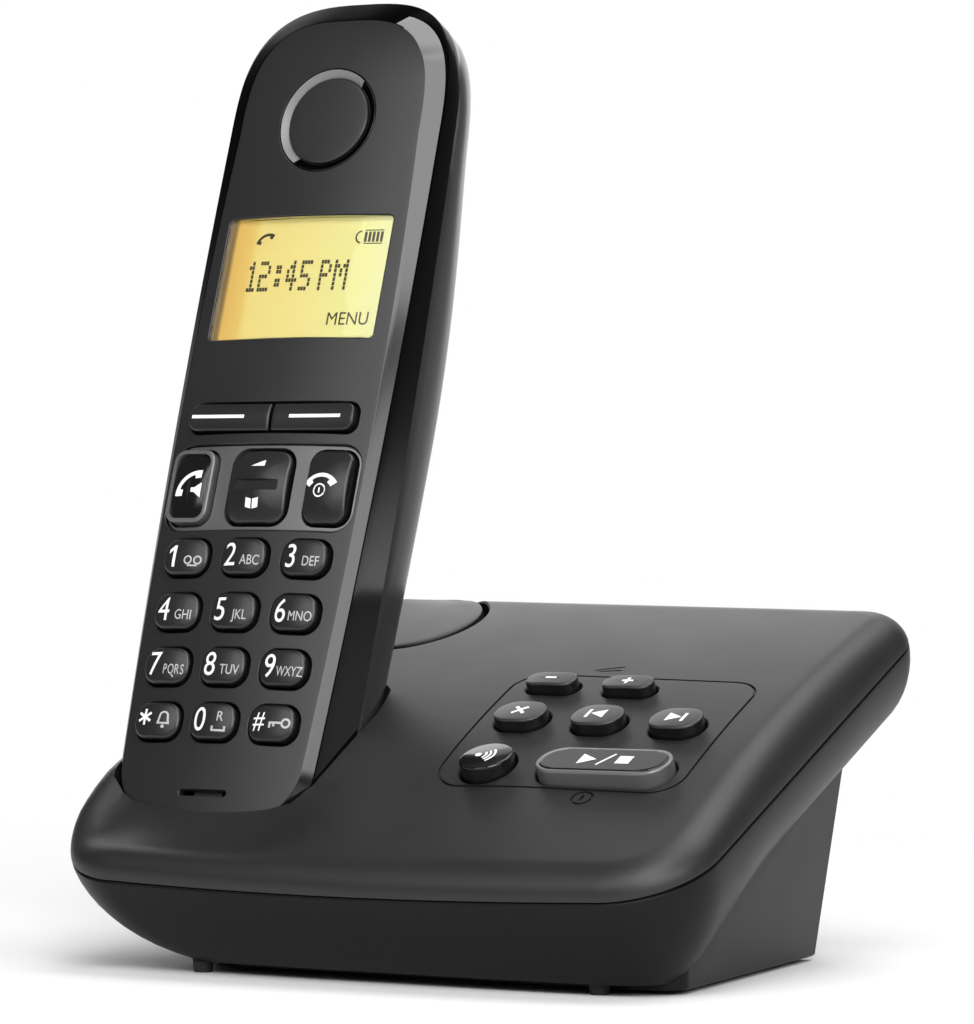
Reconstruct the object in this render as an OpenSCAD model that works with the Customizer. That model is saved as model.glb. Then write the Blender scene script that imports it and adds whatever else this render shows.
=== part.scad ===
// Cordless phone: a handset that stands in a sloping base with an answering machine.
// Millimetres, +Z up, front towards -Y. The origin is on the floor under the middle of the base.

/* [Handset] */
// Length of the handset from end to end
handset_len = 165; // [161:1:174]
// Width of the handset at its widest
handset_w = 46.6; // [45:0.2:47.6]
// Thickness of the handset from face to back
handset_t = 26.4; // [25.6:0.2:28.4]
// Lean of the handset back from upright
handset_lean = 18.85; // [15:0.05:22]
// Radius of the crown across the face
face_r = 140; // [120:5:200]

/* [Handset keys] */
// Distance between the digit columns
key_pitch = 12.7; // [12:0.1:13]
// Distance between the digit rows
row_pitch = 10.4; // [9.6:0.1:10.5]
// Width of a digit key
key_w = 9.5; // [8.6:0.1:10.6]
// Height of a digit key
key_h = 6.8; // [6.2:0.1:7.6]
// Height of the key tops above the face
key_proud = 1.6; // [1:0.1:2.4]
// Travel of the handset keys
key_travel = 0.8; // [0.4:0.1:0.9]

/* [Display] */
// Width of the display window
window_w = 35.6; // [32:0.2:36]
// Height of the display window
window_h = 24; // [21:0.2:24.6]

/* [Base] */
// Width of the base
base_w = 130; // [128:1:150]
// Length of the base along its slope
base_len = 108; // [107:1:116]
// Slope of the base
base_tilt = 24.5; // [21:0.5:27]
// Height of the front of the seam above the floor
seam_z = 15.5; // [14.5:0.5:19]
// Height of the crown of the top above the seam
top_h = 9.9; // [9.3:0.1:11.5]
// Depth of the lower shell below the seam
hull_d = 18.7; // [17.5:0.1:20.5]
// Height of the rubber feet
foot_h = 2; // [1.5:0.1:3]

/* [Base keys] */
// Distance between the columns of base keys
base_key_pitch = 15.6; // [14.4:0.1:16.4]
// Height of the base keys above the top
base_key_proud = 2.2; // [1.4:0.1:3]
// Travel of the base keys
base_key_travel = 1; // [0.5:0.1:1]

/* [Hidden] */
$fn = 64;
wall = 2.2;
slack = 0.05;
sl = sin(base_tilt);
cl = cos(base_tilt);

// Handset outline
corner_r = 14;
top_len = 29;
mid_y = 115;
side_r = 2116;
tip_p = 0.667;
tip_y = handset_len - top_len;

// Handset features, measured up the face from its lower end
row_y = 21.3;
nav_y = row_y + 3*row_pitch + 13.7;
soft_y = nav_y + 13.5;
window_y = soft_y + window_h/2 + 15.6;
ear_y = handset_len - 26.5;
mic_y = 8.2;
bay_y = 76.5;
mat_w = -5.6;
key_foot = mat_w + key_travel + 0.2;
side_key_x = 14.7;
tray_w = 40.2;
tray_h = 16.4;
soft_x = 9.05;

// Base outline
front_r = 17;
rear_r = 9.6;
bow = 2;
x1 = base_w/2 - front_r;
hull_a = 17.3;
hull_p = 1.14;
edge_r = 6.5;
skew = 0.002;
hx = -base_w/2 + 25.5;
front_y = -base_len*cl/2 - 2.64;
block_y = base_len*cl - 9.1;
block_x = base_w/2 - 17.7;
block_z = 0.8;
far = 150;
foot_x = [-37.2, 43.6];
foot_y = 14;
foot_r = 1.9;

// Base features: across from the middle, up the slope, above the seam
speaker_x = hx + 3.5;
speaker_t = base_len - 17;
speaker_r = 14.8;
panel_x = 28.5;
panel_t = 50.4;
groove_t = 48.55;
key_x = panel_x - base_key_pitch - 0.4;
row_t = [62.7, 50.2, 35];
mat_h = top_h - 7.4;
base_foot = mat_h + base_key_travel + 0.2;
post_x = 24.6;
post_t = 23.6;

// Half width of the handset at a height y
function half_w(y) = handset_w/2 - pow(y - mid_y, 2)/(2*side_r);

// Height of the seam between the two handset shells, and of the back
function seam_w(y) = -16 + 8.3*y/handset_len;
function back_w(y) = -handset_t + (y > 80 ? 0.0022*pow(y - 80, 2) : 0);

// Height of the crowned face at a distance x from its middle
function face_w(x) = sqrt(face_r*face_r - x*x) - face_r;

// Right half of the handset outline, drawn in by e and towards the tip by g more, the tip itself
// drawn in by f times as much
function rows(e, f, g = 0) = concat(
  [for (k = [0:5])
    let (a = 18*k)
    [half_w(corner_r) - corner_r + (corner_r - e)*sin(a), corner_r - (corner_r - e)*cos(a)]],
  [for (k = [1:4])
    let (y = corner_r + (tip_y - corner_r)*k/5)
    [half_w(y) - e - g*k*k/25, y]],
  [for (k = [0:10])
    let (a = 8.8*k)
    [(half_w(tip_y) - e - g)*pow(cos(a), tip_p), tip_y + (top_len - f*(e + g))*pow(sin(a), tip_p)]]);

function flat_ring(e, w, f, g = 0) = [for (p = rows(e, f, g)) [p[0], p[1], w]];
function seam_ring(e, d, f) = [for (p = rows(e, f)) [p[0], p[1], seam_w(p[1]) + d]];

// Ring of the rounded back at an angle a
function back_ring(e, r, d, a, f) = [for (p = rows(e + r*(1 - cos(a)), f))
  [p[0], p[1], seam_w(p[1]) + (back_w(p[1]) + d - seam_w(p[1]))*sin(a)]];

// Height of the top of the base at t up its slope
function top_at(t) =
  t < 30 ? top_h - 2.03 - 0.1*(30 - t) :
  t < 62 ? top_h - pow(t - 62, 2)/504 :
  top_h - pow(t - 62, 2)/620;

// Right half of the base outline, drawn in by e: mf times e in front, mr times e behind, with the
// middle of each corner moved in by q times e
function base_rows(e, mf, mr, q) =
  let (r = max(front_r + (q - 1)*e, 1.5), xc = base_w/2 - e - r, yc = bow*pow(xc/x1, 2) + e*mf + r)
  let (rr = max(rear_r + (q - 1)*e, 1.5), yr = base_len - mr*e - rr)
  concat(
  [for (k = [0:4])
    let (x = 6 + (xc - 6)*k/4)
    [x, bow*pow(x/x1, 2) + e*mf]],
  [for (k = [1:7])
    let (a = 90*k/7)
    [xc + r*sin(a), yc - r*cos(a)]],
  [for (k = [1:4])
    [base_w/2 - e, yc + (yr - yc)*k/5]],
  [for (k = [0:5])
    let (a = 18*k)
    [base_w/2 - e - rr + rr*cos(a), yr + rr*sin(a)]]);

function base_ring(e, h) = [for (p = base_rows(e, 1, 1, 0)) [p[0], p[1], h]];

// Ring of the rolled upper edge at an angle a, under a skin d thick
function edge_ring(e, d, a) = [for (p = base_rows(e + edge_r*(1 - cos(a)), 1, 1, 0))
  [p[0], p[1], (top_at(p[1]) - d)*sin(a)]];

// Ring of the lower shell at an angle a
function hull_ring(e, r, d, a) = [for (p = base_rows(e + r*(1 - pow(cos(a), hull_p)), 0.36, 0.15, 1.39))
  [p[0], p[1], -d*pow(sin(a), hull_p)]];

// Solid through a stack of rings, each given by its right half, lowest first, and lower by a
// share s of its height for each millimetre to the right
module loft(rings, s = 0) {
  n = len(rings[0]);
  c = 2*n;
  points = [for (r = rings) for (i = [0:c - 1])
    let (p = r[i < n ? i : c - 1 - i], x = i < n ? p[0] : -p[0])
    [x, p[1], p[2]*(1 - s*x)]];
  last = (len(rings) - 1)*c;
  top = [for (i = [0:n - 2]) [last + c - 1 - i, last + c - 2 - i, last + i + 1, last + i]];
  faces = concat(
    [for (k = [0:len(rings) - 2]) for (i = [0:c - 1]) [k*c + i, (k + 1)*c + i, (k + 1)*c + (i + 1)%c]],
    [for (k = [0:len(rings) - 2]) for (i = [0:c - 1]) [k*c + i, (k + 1)*c + (i + 1)%c, k*c + (i + 1)%c]],
    [for (i = [0:n - 2]) [i, i + 1, c - 2 - i, c - 1 - i]],
    s == 0 ? top : [for (q = top) [q[0], q[1], q[2]]],
    s == 0 ? [] : [for (q = top) [q[0], q[2], q[3]]]);
  polyhedron(points, faces);
}

// Frames: the handset lies with its face up, the base with its seam level
module base_frame() {
  translate([0, front_y, seam_z]) rotate([base_tilt, 0, 0]) children();
}

module handset_frame() {
  base_frame() translate([hx, 16.5, 1.8]) rotate([90 - handset_lean - base_tilt, 0, 0]) children();
}

// Upright slab with rounded corners, from height a to height b
module slab(w, h, r, a, b) {
  translate([0, 0, a]) linear_extrude(b - a) union() {
    square([w, h - 2*r], center = true);
    square([w - 2*r, h], center = true);
    for (i = [-1, 1]) for (j = [-1, 1]) translate([i*(w/2 - r), j*(h/2 - r)]) circle(r);
  }
}

module post(r, a, b) {
  translate([0, 0, a]) cylinder(r = r, h = b - a);
}

module box(x, y, z) {
  translate([x[0], y[0], z[0]]) cube([x[1] - x[0], y[1] - y[0], z[1] - z[0]]);
}

// Everything under the crowned face
module crown(d) {
  translate([0, -20, -face_r]) rotate([-90, 0, 0]) cylinder(r = face_r - d, h = handset_len + 40, $fn = 720);
}

module front_solid() {
  intersection() {
    loft([seam_ring(0.25, slack, 1.2), flat_ring(0, -6.2, 1.2), flat_ring(0, -3.4, 1.2),
      flat_ring(2.72, 0.05, 0.72, 3.45)]);
    crown(0);
  }
}

module rear_solid() {
  loft([for (a = [90, 76, 62, 48, 34, 18, 0]) back_ring(0.25, 5.5, 0, a, 1.2)]);
}

// Places for the keys
module at_digit(c, r) {
  translate([c*(key_pitch - 0.15*r), row_y + (3 - r)*row_pitch, 0]) children();
}

module at_all_digits() {
  for (c = [-1:1]) for (r = [0:3]) at_digit(c, r) children();
}

module handset_post_places() {
  for (i = [-1, 1]) {
    translate([i*13, 13.2, 0]) children();
    translate([i*14.5, 89.5, 0]) children();
  }
}

module handset_screw_places() {
  for (i = [-1, 1]) {
    translate([i*9, 40, 0]) children();
    translate([i*9, 107, 0]) children();
  }
}

// Key with a domed top and a flange under the skin
module domed_key(w, h, r, top, shoulder) {
  intersection() {
    slab(w, h, r, key_foot, top);
    translate([0, 0, top - 16]) sphere(16, $fn = 128);
  }
  slab(w + 1.2, h + 1.2, r + 0.4, key_foot, shoulder);
}

module digit_key(c, r) {
  handset_frame() at_digit(c, r)
    domed_key(key_w, key_h, 2.8, face_w(abs(c)*key_pitch) + key_proud, -3.55);
}

module soft_key(i) {
  handset_frame() translate([i*soft_x, soft_y, 0]) {
    intersection() {
      slab(2*soft_x - 0.6, 5.3, 1.8, key_foot, 1.2);
      translate([-20, 0, face_w(soft_x) + 0.75 - 9]) rotate([0, 90, 0]) cylinder(r = 9, h = 40);
    }
    slab(2*soft_x - 0.6, 6.3, 1.8, key_foot, -3.6);
  }
}

// Handset shells
module handset_front_shell() color("#3c3c3e") handset_frame() {
  difference() {
    union() {
      difference() {
        front_solid();
        intersection() {
          loft([seam_ring(2.2, -3, 1.8), flat_ring(2.2, -5.6, 1.8), flat_ring(3.9, -1.4, 1.8)]);
          crown(2);
        }
      }
      handset_post_places() post(2, mat_w - 1, -2);
      box([-18, 18], [nav_y - 9, nav_y - 7.7], [-3.8, -1.4]);
      box([-18, 18], [nav_y + 7.7, nav_y + 9], [-3.8, -1.4]);
      translate([0, window_y, 0]) slab(window_w + 3.4, window_h + 4, 1.5, -3.4, -1.6);
      translate([0, ear_y, 0]) post(12, -3.6, -1.2);
    }
    at_all_digits() slab(key_w + 0.7, key_h + 0.7, 3.1, -6, 4);
    translate([0, soft_y, 0]) slab(4*soft_x, 6, 2.1, -6, 4);
    translate([0, nav_y, 0]) slab(tray_w + 0.2, tray_h + 0.2, 3.9, -2.6, 4);
    translate([0, nav_y, 0]) slab(tray_w - 1, tray_h - 1, 3.3, -6, 4);
    translate([0, window_y, 0]) slab(window_w + 0.2, window_h + 0.2, 1, -2.1, 4);
    translate([0, window_y, 0]) slab(window_w - 2.6, window_h - 2.6, 0.8, -6, 4);
    translate([0, ear_y, 0]) post(10.4, -1.9, 4);
    translate([0, ear_y, 0]) post(8.4, -6, 4);
    translate([0, mic_y, 0]) slab(10, 1.1, 0.5, -6, 4);
    for (i = [-1, 1]) box([i*9 - 2.1, i*9 + 2.1], [-2, 4], [-9.6, -6.4]);
  }
}

module handset_rear_shell() color("#333335") handset_frame() {
  difference() {
    union() {
      difference() {
        rear_solid();
        loft(concat([for (a = [90, 60, 30, 0]) back_ring(2.3, 4.2, 2, a, 1.2)], [seam_ring(2.3, 4, 1.2)]));
      }
      intersection() {
        rear_solid();
        box([-15, 15], [bay_y - 28, bay_y + 28], [-handset_t - 1, -9.7]);
      }
      box([-15, 15], [bay_y - 28, bay_y + 28], [-16, -9.7]);
      handset_screw_places() post(3.2, -handset_t + 1.8, mat_w - 2.7);
      translate([0, ear_y - 15, 0]) post(1.6, -handset_t + 5, mat_w - 2.7);
    }
    box([-11.6, 11.6], [bay_y - 24.5, bay_y + 24.5], [-handset_t - 1, -10.9]);
    translate([0, bay_y, 0]) slab(27.8, 53.8, 3.4, -handset_t - 1, -handset_t + 2.9);
    handset_screw_places() post(1.3, -handset_t - 1, mat_w - 4);
    handset_screw_places() post(2.5, -handset_t - 1, -handset_t + 4.3);
  }
}

// Display
module display_window() color("#f5df7a") handset_frame() {
  intersection() {
    translate([0, window_y, 0]) slab(window_w, window_h, 0.9, -2.05, 1);
    crown(0.05);
  }
}

module lcd_module() color("#d9cf9a") handset_frame() {
  translate([0, window_y, 0]) slab(34, window_h + 3.4, 0.6, mat_w - 0.95, -3.45);
}

// Earpiece and microphone
module earpiece_disc() color("#1c1c1d") handset_frame() {
  intersection() {
    translate([0, ear_y, 0]) post(10.2, -1.85, 0);
    crown(0.45);
  }
}

module earpiece_speaker() color("#4a4a4c") handset_frame() {
  translate([0, ear_y, -3.65]) mirror([0, 0, 1]) {
    cylinder(r = 10, h = 2.2);
    cylinder(r = 7, h = 3.6);
  }
}

module handset_microphone() color("#8d8f92") handset_frame() {
  translate([0, mic_y, 0]) post(3, -4.3, -2.1);
}

// Keys of the handset
module nav_tray() color("#56585b") handset_frame() {
  difference() {
    intersection() {
      translate([0, nav_y, 0]) slab(tray_w, tray_h, 3.8, -2.55, 1);
      crown(0.5);
    }
    for (i = [-1, 1]) translate([i*side_key_x, nav_y, 0]) slab(9.7, 14.7, 2.8, -6, 4);
    translate([0, nav_y, 0]) slab(13.4, 14.9, 3.2, -6, 4);
  }
}

module softkey_left() color("#232324") soft_key(-1);

module softkey_right() color("#232324") soft_key(1);

module talk_key() color("#6a6c70") handset_frame() translate([-side_key_x, nav_y, 0]) {
  difference() {
    slab(8.9, 14, 2.4, key_foot, 0.5);
    slab(7.3, 12.5, 1.7, -0.4, 3);
  }
  slab(8.9, 15, 2.4, key_foot, -2.9);
}

module talk_key_insert() color("#0f0f10") handset_frame() translate([-side_key_x, nav_y, 0]) {
  intersection() {
    slab(7.2, 12.4, 1.65, -0.35, 1);
    translate([0, 0, 0.75 - 24]) sphere(24, $fn = 200);
  }
}

module nav_key() color("#1e1e20") handset_frame() translate([0, nav_y, 0]) {
  intersection() {
    slab(12.5, 14.1, 2.9, key_foot, 1.3);
    translate([0, 0, 1.3 - 20]) sphere(20, $fn = 160);
  }
  slab(12.5, 15, 2.9, key_foot, -3.3);
}

module end_key() color("#1e1e20") handset_frame() translate([side_key_x, nav_y, 0]) {
  intersection() {
    slab(8.9, 14, 2.4, key_foot, 0.9);
    translate([0, 0, 0.9 - 20]) sphere(20, $fn = 160);
  }
  slab(8.9, 15, 2.4, key_foot, -2.9);
}

module key_1() color("#232324") digit_key(-1, 0);

module key_2() color("#232324") digit_key(0, 0);

module key_3() color("#232324") digit_key(1, 0);

module key_4() color("#232324") digit_key(-1, 1);

module key_5() color("#232324") digit_key(0, 1);

module key_6() color("#232324") digit_key(1, 1);

module key_7() color("#232324") digit_key(-1, 2);

module key_8() color("#232324") digit_key(0, 2);

module key_9() color("#232324") digit_key(1, 2);

module key_star() color("#232324") digit_key(-1, 3);

module key_0() color("#232324") digit_key(0, 3);

module key_hash() color("#232324") digit_key(1, 3);

// Inside the handset
module keypad_mat() color("#55585c") handset_frame() {
  box([-17, 17], [15.6, 87], [mat_w - 1, mat_w]);
}

module handset_board() color("#2c5a3a") handset_frame() {
  difference() {
    box([-17, 17], [10.5, ear_y - 13], [mat_w - 2.6, mat_w - 1.05]);
    handset_screw_places() post(1.5, mat_w - 4, mat_w);
  }
}

module battery_cell(i) {
  handset_frame() translate([i*5.6, bay_y - 22.25, -16.35]) rotate([-90, 0, 0]) {
    cylinder(r = 5.2, h = 43.6);
    cylinder(r = 1.9, h = 44.5);
  }
}

module battery_cell_left() color("#3f8f5a") battery_cell(-1);

module battery_cell_right() color("#3f8f5a") battery_cell(1);

module battery_contacts() color("#c9ccd0") handset_frame() {
  box([-10.5, 10.5], [bay_y - 24.4, bay_y - 22.6], [-20.5, -12]);
  box([-10.5, 10.5], [bay_y + 22.6, bay_y + 24.4], [-20.5, -12]);
}

module battery_door() color("#333335") handset_frame() {
  intersection() {
    translate([0, bay_y, 0]) slab(27, 53, 3, -handset_t - 1, -handset_t + 2.6);
    rear_solid();
  }
}

module handset_charge_pads() color("#c8a64b") handset_frame() {
  for (i = [-1, 1]) box([i*9 - 2, i*9 + 2], [0.15, 2.8], [-9.5, -6.5]);
}

module handset_screws() color("#a7a9ac") handset_frame() {
  handset_screw_places() {
    post(1.2, -handset_t + 2.6, mat_w - 4.1);
    post(2.4, -handset_t + 2.6, -handset_t + 4.25);
  }
}

// Base shells
module upper_solid(low) {
  loft(concat([base_ring(0, low)], [for (a = [6, 16, 30, 46, 62, 77, 90]) edge_ring(0, 0, a)]), skew);
}

// Room for the handset, grown by d
module pocket(d) {
  intersection() {
    loft([flat_ring(5.2 - d, -handset_t - 0.7 - d, 1), flat_ring(2 - d, -handset_t + 1.1 - d, 1),
      flat_ring(-0.1 - d, -18.9 - d, 1), flat_ring(-0.6 - d, -12.6, 1),
      flat_ring(-0.6 - d, -3.2, 1), flat_ring(1.8 - d, 1.2, 1)]);
    crown(-0.6 - d);
  }
}

module at_pocket() {
  translate([hx, 16.5, 1.8]) rotate([90 - handset_lean - base_tilt, 0, 0]) children();
}

// Upright screws that close the base: across, and back from the front of the seam
screws = [[-4, 15.5], [28, 15.5], [-42, 60], [38, block_y - 13]];

function seam_at(y) = seam_z + y*sl/cl;

// Posts round the screws, up to h above the seam
module screw_posts(r, low, h) {
  for (p = screws) translate([p[0], front_y + p[1], 0]) post(r, low, seam_at(p[1]) + h);
}

module screw_heads(r, low, high) {
  for (p = screws) translate([p[0], front_y + p[1], 0]) post(r, low, high);
}

// Turns the frame of the base back to the level of the floor
module level() {
  rotate([-base_tilt, 0, 0]) translate([0, -front_y, -seam_z]) children();
}

module base_post_places() {
  for (i = [-1, 1]) for (j = [-1, 1]) translate([panel_x + i*post_x, panel_t + j*post_t, 0]) children();
}

// Sizes of the base keys: column, row, shift, width, height, corner
down_key = [0, 0, 0, 10, 4.8, 2.2];
up_key = [1, 0, 0, 10, 4.8, 2.2];
delete_key = [0, 1, 0, 10, 7.6, 3.6];
back_key = [1, 1, 0, 10, 7.6, 3.6];
forward_key = [2, 1, 0, 10, 7.6, 3.6];
page_key = [0, 2, 0.7, 9.8, 9.8, 4.8];
play_key = [1.5, 2, 0.9, 26.2, 9.4, 4.6];
base_keys = [down_key, up_key, delete_key, back_key, forward_key, page_key, play_key];

// Place of a key across the base, and the height of the top there, d to its right
function key_at(k) = key_x + k[0]*base_key_pitch + k[2];
function top_by(k, t, d) = top_at(t)*(1 - skew*(key_at(k) + d));
function key_top(k) = top_by(k, row_t[k[1]], 0) + base_key_proud;

module at_base_key(k) {
  translate([key_at(k), row_t[k[1]], 0]) children();
}

// Flange of a base key under the skin of the top
module key_flange(k) {
  slab(k[3] + 1.6, k[4] + 1.6, k[5] + 0.6, base_foot,
    top_by(k, row_t[k[1]] - k[4]/2 - 1, k[3]/2 + 1) - wall - 0.35);
}

module base_key(k) {
  base_frame() at_base_key(k) {
    intersection() {
      slab(k[3], k[4], k[5], base_foot, key_top(k));
      translate([0, 0, key_top(k) - 60]) sphere(60, $fn = 240);
    }
    key_flange(k);
  }
}

// Room inside the base, drawn in by d from the walls of the lower shell, and all above the seam
module base_room(d) {
  loft(concat([for (a = [90, 62, 34, 0]) hull_ring(wall + d, hull_a - 1.4, hull_d - wall - d, a)],
    [base_ring(wall + d, 3)]));
  intersection() {
    level() block(wall + d);
    translate([-far, -far, -wall - d - far]) cube([2*far, 2*far, far]);
  }
  translate([-far, -far, slack]) cube([2*far, 2*far, far]);
}

module base_upper_shell() color("#3a3a3c") base_frame() {
  difference() {
    union() {
      difference() {
        upper_solid(slack);
        loft([base_ring(wall, -2), base_ring(wall, 0.3), edge_ring(wall, wall, 40), edge_ring(wall, wall, 66),
          edge_ring(wall, wall, 90)], skew);
      }
      intersection() {
        upper_solid(-40);
        union() {
          intersection() {
            at_pocket() pocket(2);
            base_room(0.3);
          }
          base_post_places() post(2.4, mat_h - 1.15, 30);
          level() intersection() {
            screw_posts(3, 0, 20);
            base_frame() translate([-far, -far, slack]) cube([2*far, 2*far, far]);
          }
          translate([speaker_x, speaker_t, 0]) post(speaker_r + 2, 1.6, 30);
        }
      }
    }
    at_pocket() pocket(0);
    at_pocket() for (i = [-1, 1]) box([i*9 - 1.6, i*9 + 1.6], [-8, 2], [-9.3, -6.7]);
    for (k = base_keys) at_base_key(k) slab(k[3] + 0.7, k[4] + 0.7, k[5] + 0.3, -1, 30);
    level() screw_posts(1.25, 0, 3.2);
    translate([speaker_x, speaker_t, 0]) post(speaker_r + 0.45, 3.6, 30);
    difference() {
      translate([panel_x - 0.2, groove_t, 0]) slab(49.3, 39.4, 6, 4, 30);
      translate([panel_x - 0.2, groove_t, 0]) slab(48.3, 38.4, 5.5, 3, 31);
      translate([0, 0, -0.45]) upper_solid(0);
    }
  }
}

// Wedge block that the sloping body stands on, with its sides drawn in by d
module block(d) {
  hull() {
    translate([0, front_y, block_z + d]) linear_extrude(0.1) polygon([
      [10 - block_x, 18.5 + d], [block_x + 2, 18.5 + d], [block_x + 9.7 - d, 22 + d],
      [block_x - d, block_y - d], [d - block_x, block_y - d], [d - block_x, 31 + d]]);
    translate([0, front_y, 45]) linear_extrude(0.1) polygon([
      [10 - block_x, 18.5 + d], [block_x + 2, 18.5 + d], [block_x + 11.3 - d, 22 + d],
      [block_x + 7.3 - d, block_y - d], [d - block_x - 7.3, block_y - d], [d - block_x - 5, 31 + d]]);
  }
}

module above(z) {
  translate([-far, -far, z]) cube([2*far, 2*far, far]);
}

module lower_solid() {
  intersection() {
    base_frame() loft([for (a = [90, 74, 58, 43, 29, 15, 0]) hull_ring(0, hull_a, hull_d, a)]);
    above(foot_h);
  }
  intersection() {
    block(0);
    base_frame() translate([-far, -far, -1 - far]) cube([2*far, 2*far, far]);
  }
  for (x = foot_x) translate([x, front_y + foot_y, foot_h]) cylinder(r1 = foot_r, r2 = 3.6, h = 6);
}

module base_lower_shell() color("#2e2e30") {
  difference() {
    union() {
      difference() {
        lower_solid();
        intersection() {
          base_frame() loft(concat([for (a = [90, 62, 34, 0]) hull_ring(wall, hull_a - 1.4, hull_d - wall, a)],
            [base_ring(wall, 3)]));
          above(foot_h + wall);
        }
        intersection() {
          block(wall);
          base_frame() translate([-far, -far, -wall - far]) cube([2*far, 2*far, far]);
        }
      }
      intersection() {
        lower_solid();
        union() {
          base_frame() base_post_places() post(2.4, -80, mat_h - 2.9);
          screw_posts(4.2, 0, 10);
        }
      }
    }
    screw_heads(3.1, -1, block_z + 5);
    screw_posts(1.6, -1, 10);
    translate([20, front_y + block_y, 0]) box([-7.6, 7.6], [-20, 20], [block_z + wall, block_z + wall + 12.7]);
    translate([-20, front_y + block_y, 0]) box([-5.6, 5.6], [-20, 20], [block_z + wall, block_z + wall + 11.2]);
  }
}

module rubber_feet() color("#141414") {
  for (x = foot_x) translate([x, front_y + foot_y, 0]) cylinder(r1 = 1.6, r2 = foot_r, h = foot_h - slack);
  for (i = [-1, 1]) {
    translate([i*39, front_y + block_y - 5, 0]) cylinder(r = 4, h = block_z - slack);
  }
}

module speaker_disc() color("#3a3a3c") base_frame() {
  intersection() {
    translate([speaker_x, speaker_t, 0]) post(speaker_r - 0.45, 3.65, 30);
    upper_solid(0);
  }
}

module base_speaker() color("#4a4a4c") base_frame() translate([speaker_x, speaker_t, 1.55]) mirror([0, 0, 1]) {
  cylinder(r = 13.5, h = 2.4);
  translate([0, 0, 2.4]) cylinder(r1 = 12, r2 = 7, h = 2.6);
  cylinder(r = 7, h = 7.6);
}

module base_board() color("#2c5a3a") base_frame() {
  translate([panel_x, panel_t, 0]) slab(2*post_x + 6, 2*post_t + 6, 1, mat_h - 2.85, mat_h - 1.25);
}

module base_key_mat() color("#55585c") base_frame() {
  translate([panel_x, panel_t - 1.4, 0]) slab(44.6, 39.6, 1, mat_h - 1.2, mat_h);
}

module key_volume_down() color("#232324") base_key(down_key);

module key_volume_up() color("#232324") base_key(up_key);

module key_delete() color("#232324") base_key(delete_key);

module key_skip_back() color("#232324") base_key(back_key);

module key_skip_forward() color("#232324") base_key(forward_key);

module key_page() color("#101011") base_key(page_key);

module key_play_stop() color("#6a6c70") base_frame() at_base_key(play_key) {
  difference() {
    slab(play_key[3], play_key[4], play_key[5], base_foot, key_top(play_key));
    slab(play_key[3] - 1.4, play_key[4] - 1.6, play_key[5] - 0.8, key_top(play_key) - 1, far);
  }
  key_flange(play_key);
}

module play_key_insert() color("#101011") base_frame() at_base_key(play_key) {
  slab(play_key[3] - 1.5, play_key[4] - 1.7, play_key[5] - 0.85, key_top(play_key) - 0.95, key_top(play_key) + 0.15);
}

// Contacts, sockets and screws of the base
module charge_contacts() color("#c8a64b") handset_frame() {
  for (i = [-1, 1]) {
    box([i*9 - 1.5, i*9 + 1.5], [-6, -0.35], [-9.2, -6.8]);
    box([i*9 - 1.5, i*9 + 1.5], [-6.6, -5.4], [-11.5, -6.8]);
  }
}

module line_socket() color("#1b1b1c") translate([20, front_y + block_y, 0]) {
  difference() {
    box([-7.5, 7.5], [-14, -0.1], [block_z + wall + 0.1, block_z + wall + 12.6]);
    box([-5, 5], [-11.5, 1], [block_z + wall + 2.6, block_z + wall + 10]);
  }
}

module power_socket() color("#1b1b1c") translate([-20, front_y + block_y, 0]) {
  difference() {
    box([-5.5, 5.5], [-14, -0.1], [block_z + wall + 0.1, block_z + wall + 11.1]);
    box([-3.5, 3.5], [-11, 1], [block_z + wall + 2.4, block_z + wall + 8.8]);
  }
}

module base_screws() color("#a7a9ac") {
  screw_posts(1.2, block_z + 3, 3);
  screw_heads(3, block_z + 2.8, block_z + 4.95);
}

handset_front_shell();
handset_rear_shell();
display_window();
lcd_module();
earpiece_disc();
earpiece_speaker();
nav_tray();
softkey_left();
softkey_right();
talk_key();
talk_key_insert();
nav_key();
end_key();
key_1();
key_2();
key_3();
key_4();
key_5();
key_6();
key_7();
key_8();
key_9();
key_star();
key_0();
key_hash();
keypad_mat();
handset_board();
handset_microphone();
battery_cell_left();
battery_cell_right();
battery_contacts();
battery_door();
handset_charge_pads();
handset_screws();
base_upper_shell();
base_lower_shell();
rubber_feet();
speaker_disc();
base_speaker();
base_board();
base_key_mat();
key_volume_down();
key_volume_up();
key_delete();
key_skip_back();
key_skip_forward();
key_page();
key_play_stop();
play_key_insert();
charge_contacts();
line_socket();
power_socket();
base_screws();
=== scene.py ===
import math
import bmesh
import bpy
from mathutils import Matrix, Vector


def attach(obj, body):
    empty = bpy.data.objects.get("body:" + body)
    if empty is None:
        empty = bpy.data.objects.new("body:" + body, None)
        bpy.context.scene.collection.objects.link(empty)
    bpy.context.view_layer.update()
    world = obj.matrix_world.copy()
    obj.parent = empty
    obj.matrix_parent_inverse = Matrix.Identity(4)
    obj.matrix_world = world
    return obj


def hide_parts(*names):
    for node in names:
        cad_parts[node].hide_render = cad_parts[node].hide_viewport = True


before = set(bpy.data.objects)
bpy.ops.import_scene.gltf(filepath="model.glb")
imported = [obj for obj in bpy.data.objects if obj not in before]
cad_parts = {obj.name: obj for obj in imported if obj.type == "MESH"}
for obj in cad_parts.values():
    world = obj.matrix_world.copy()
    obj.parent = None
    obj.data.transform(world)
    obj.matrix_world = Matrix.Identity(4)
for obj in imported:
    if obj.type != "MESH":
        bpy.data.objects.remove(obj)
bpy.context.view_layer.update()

# Everything is modelled in millimetres and scaled once at the end
phone = {"tilt": 24.5, "lean": 18.85, "seamZ": 15.5, "frontY": -51.778, "handX": -39.5, "footT": 16.5,
         "footH": 1.8, "toMetres": 0.001}
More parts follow.
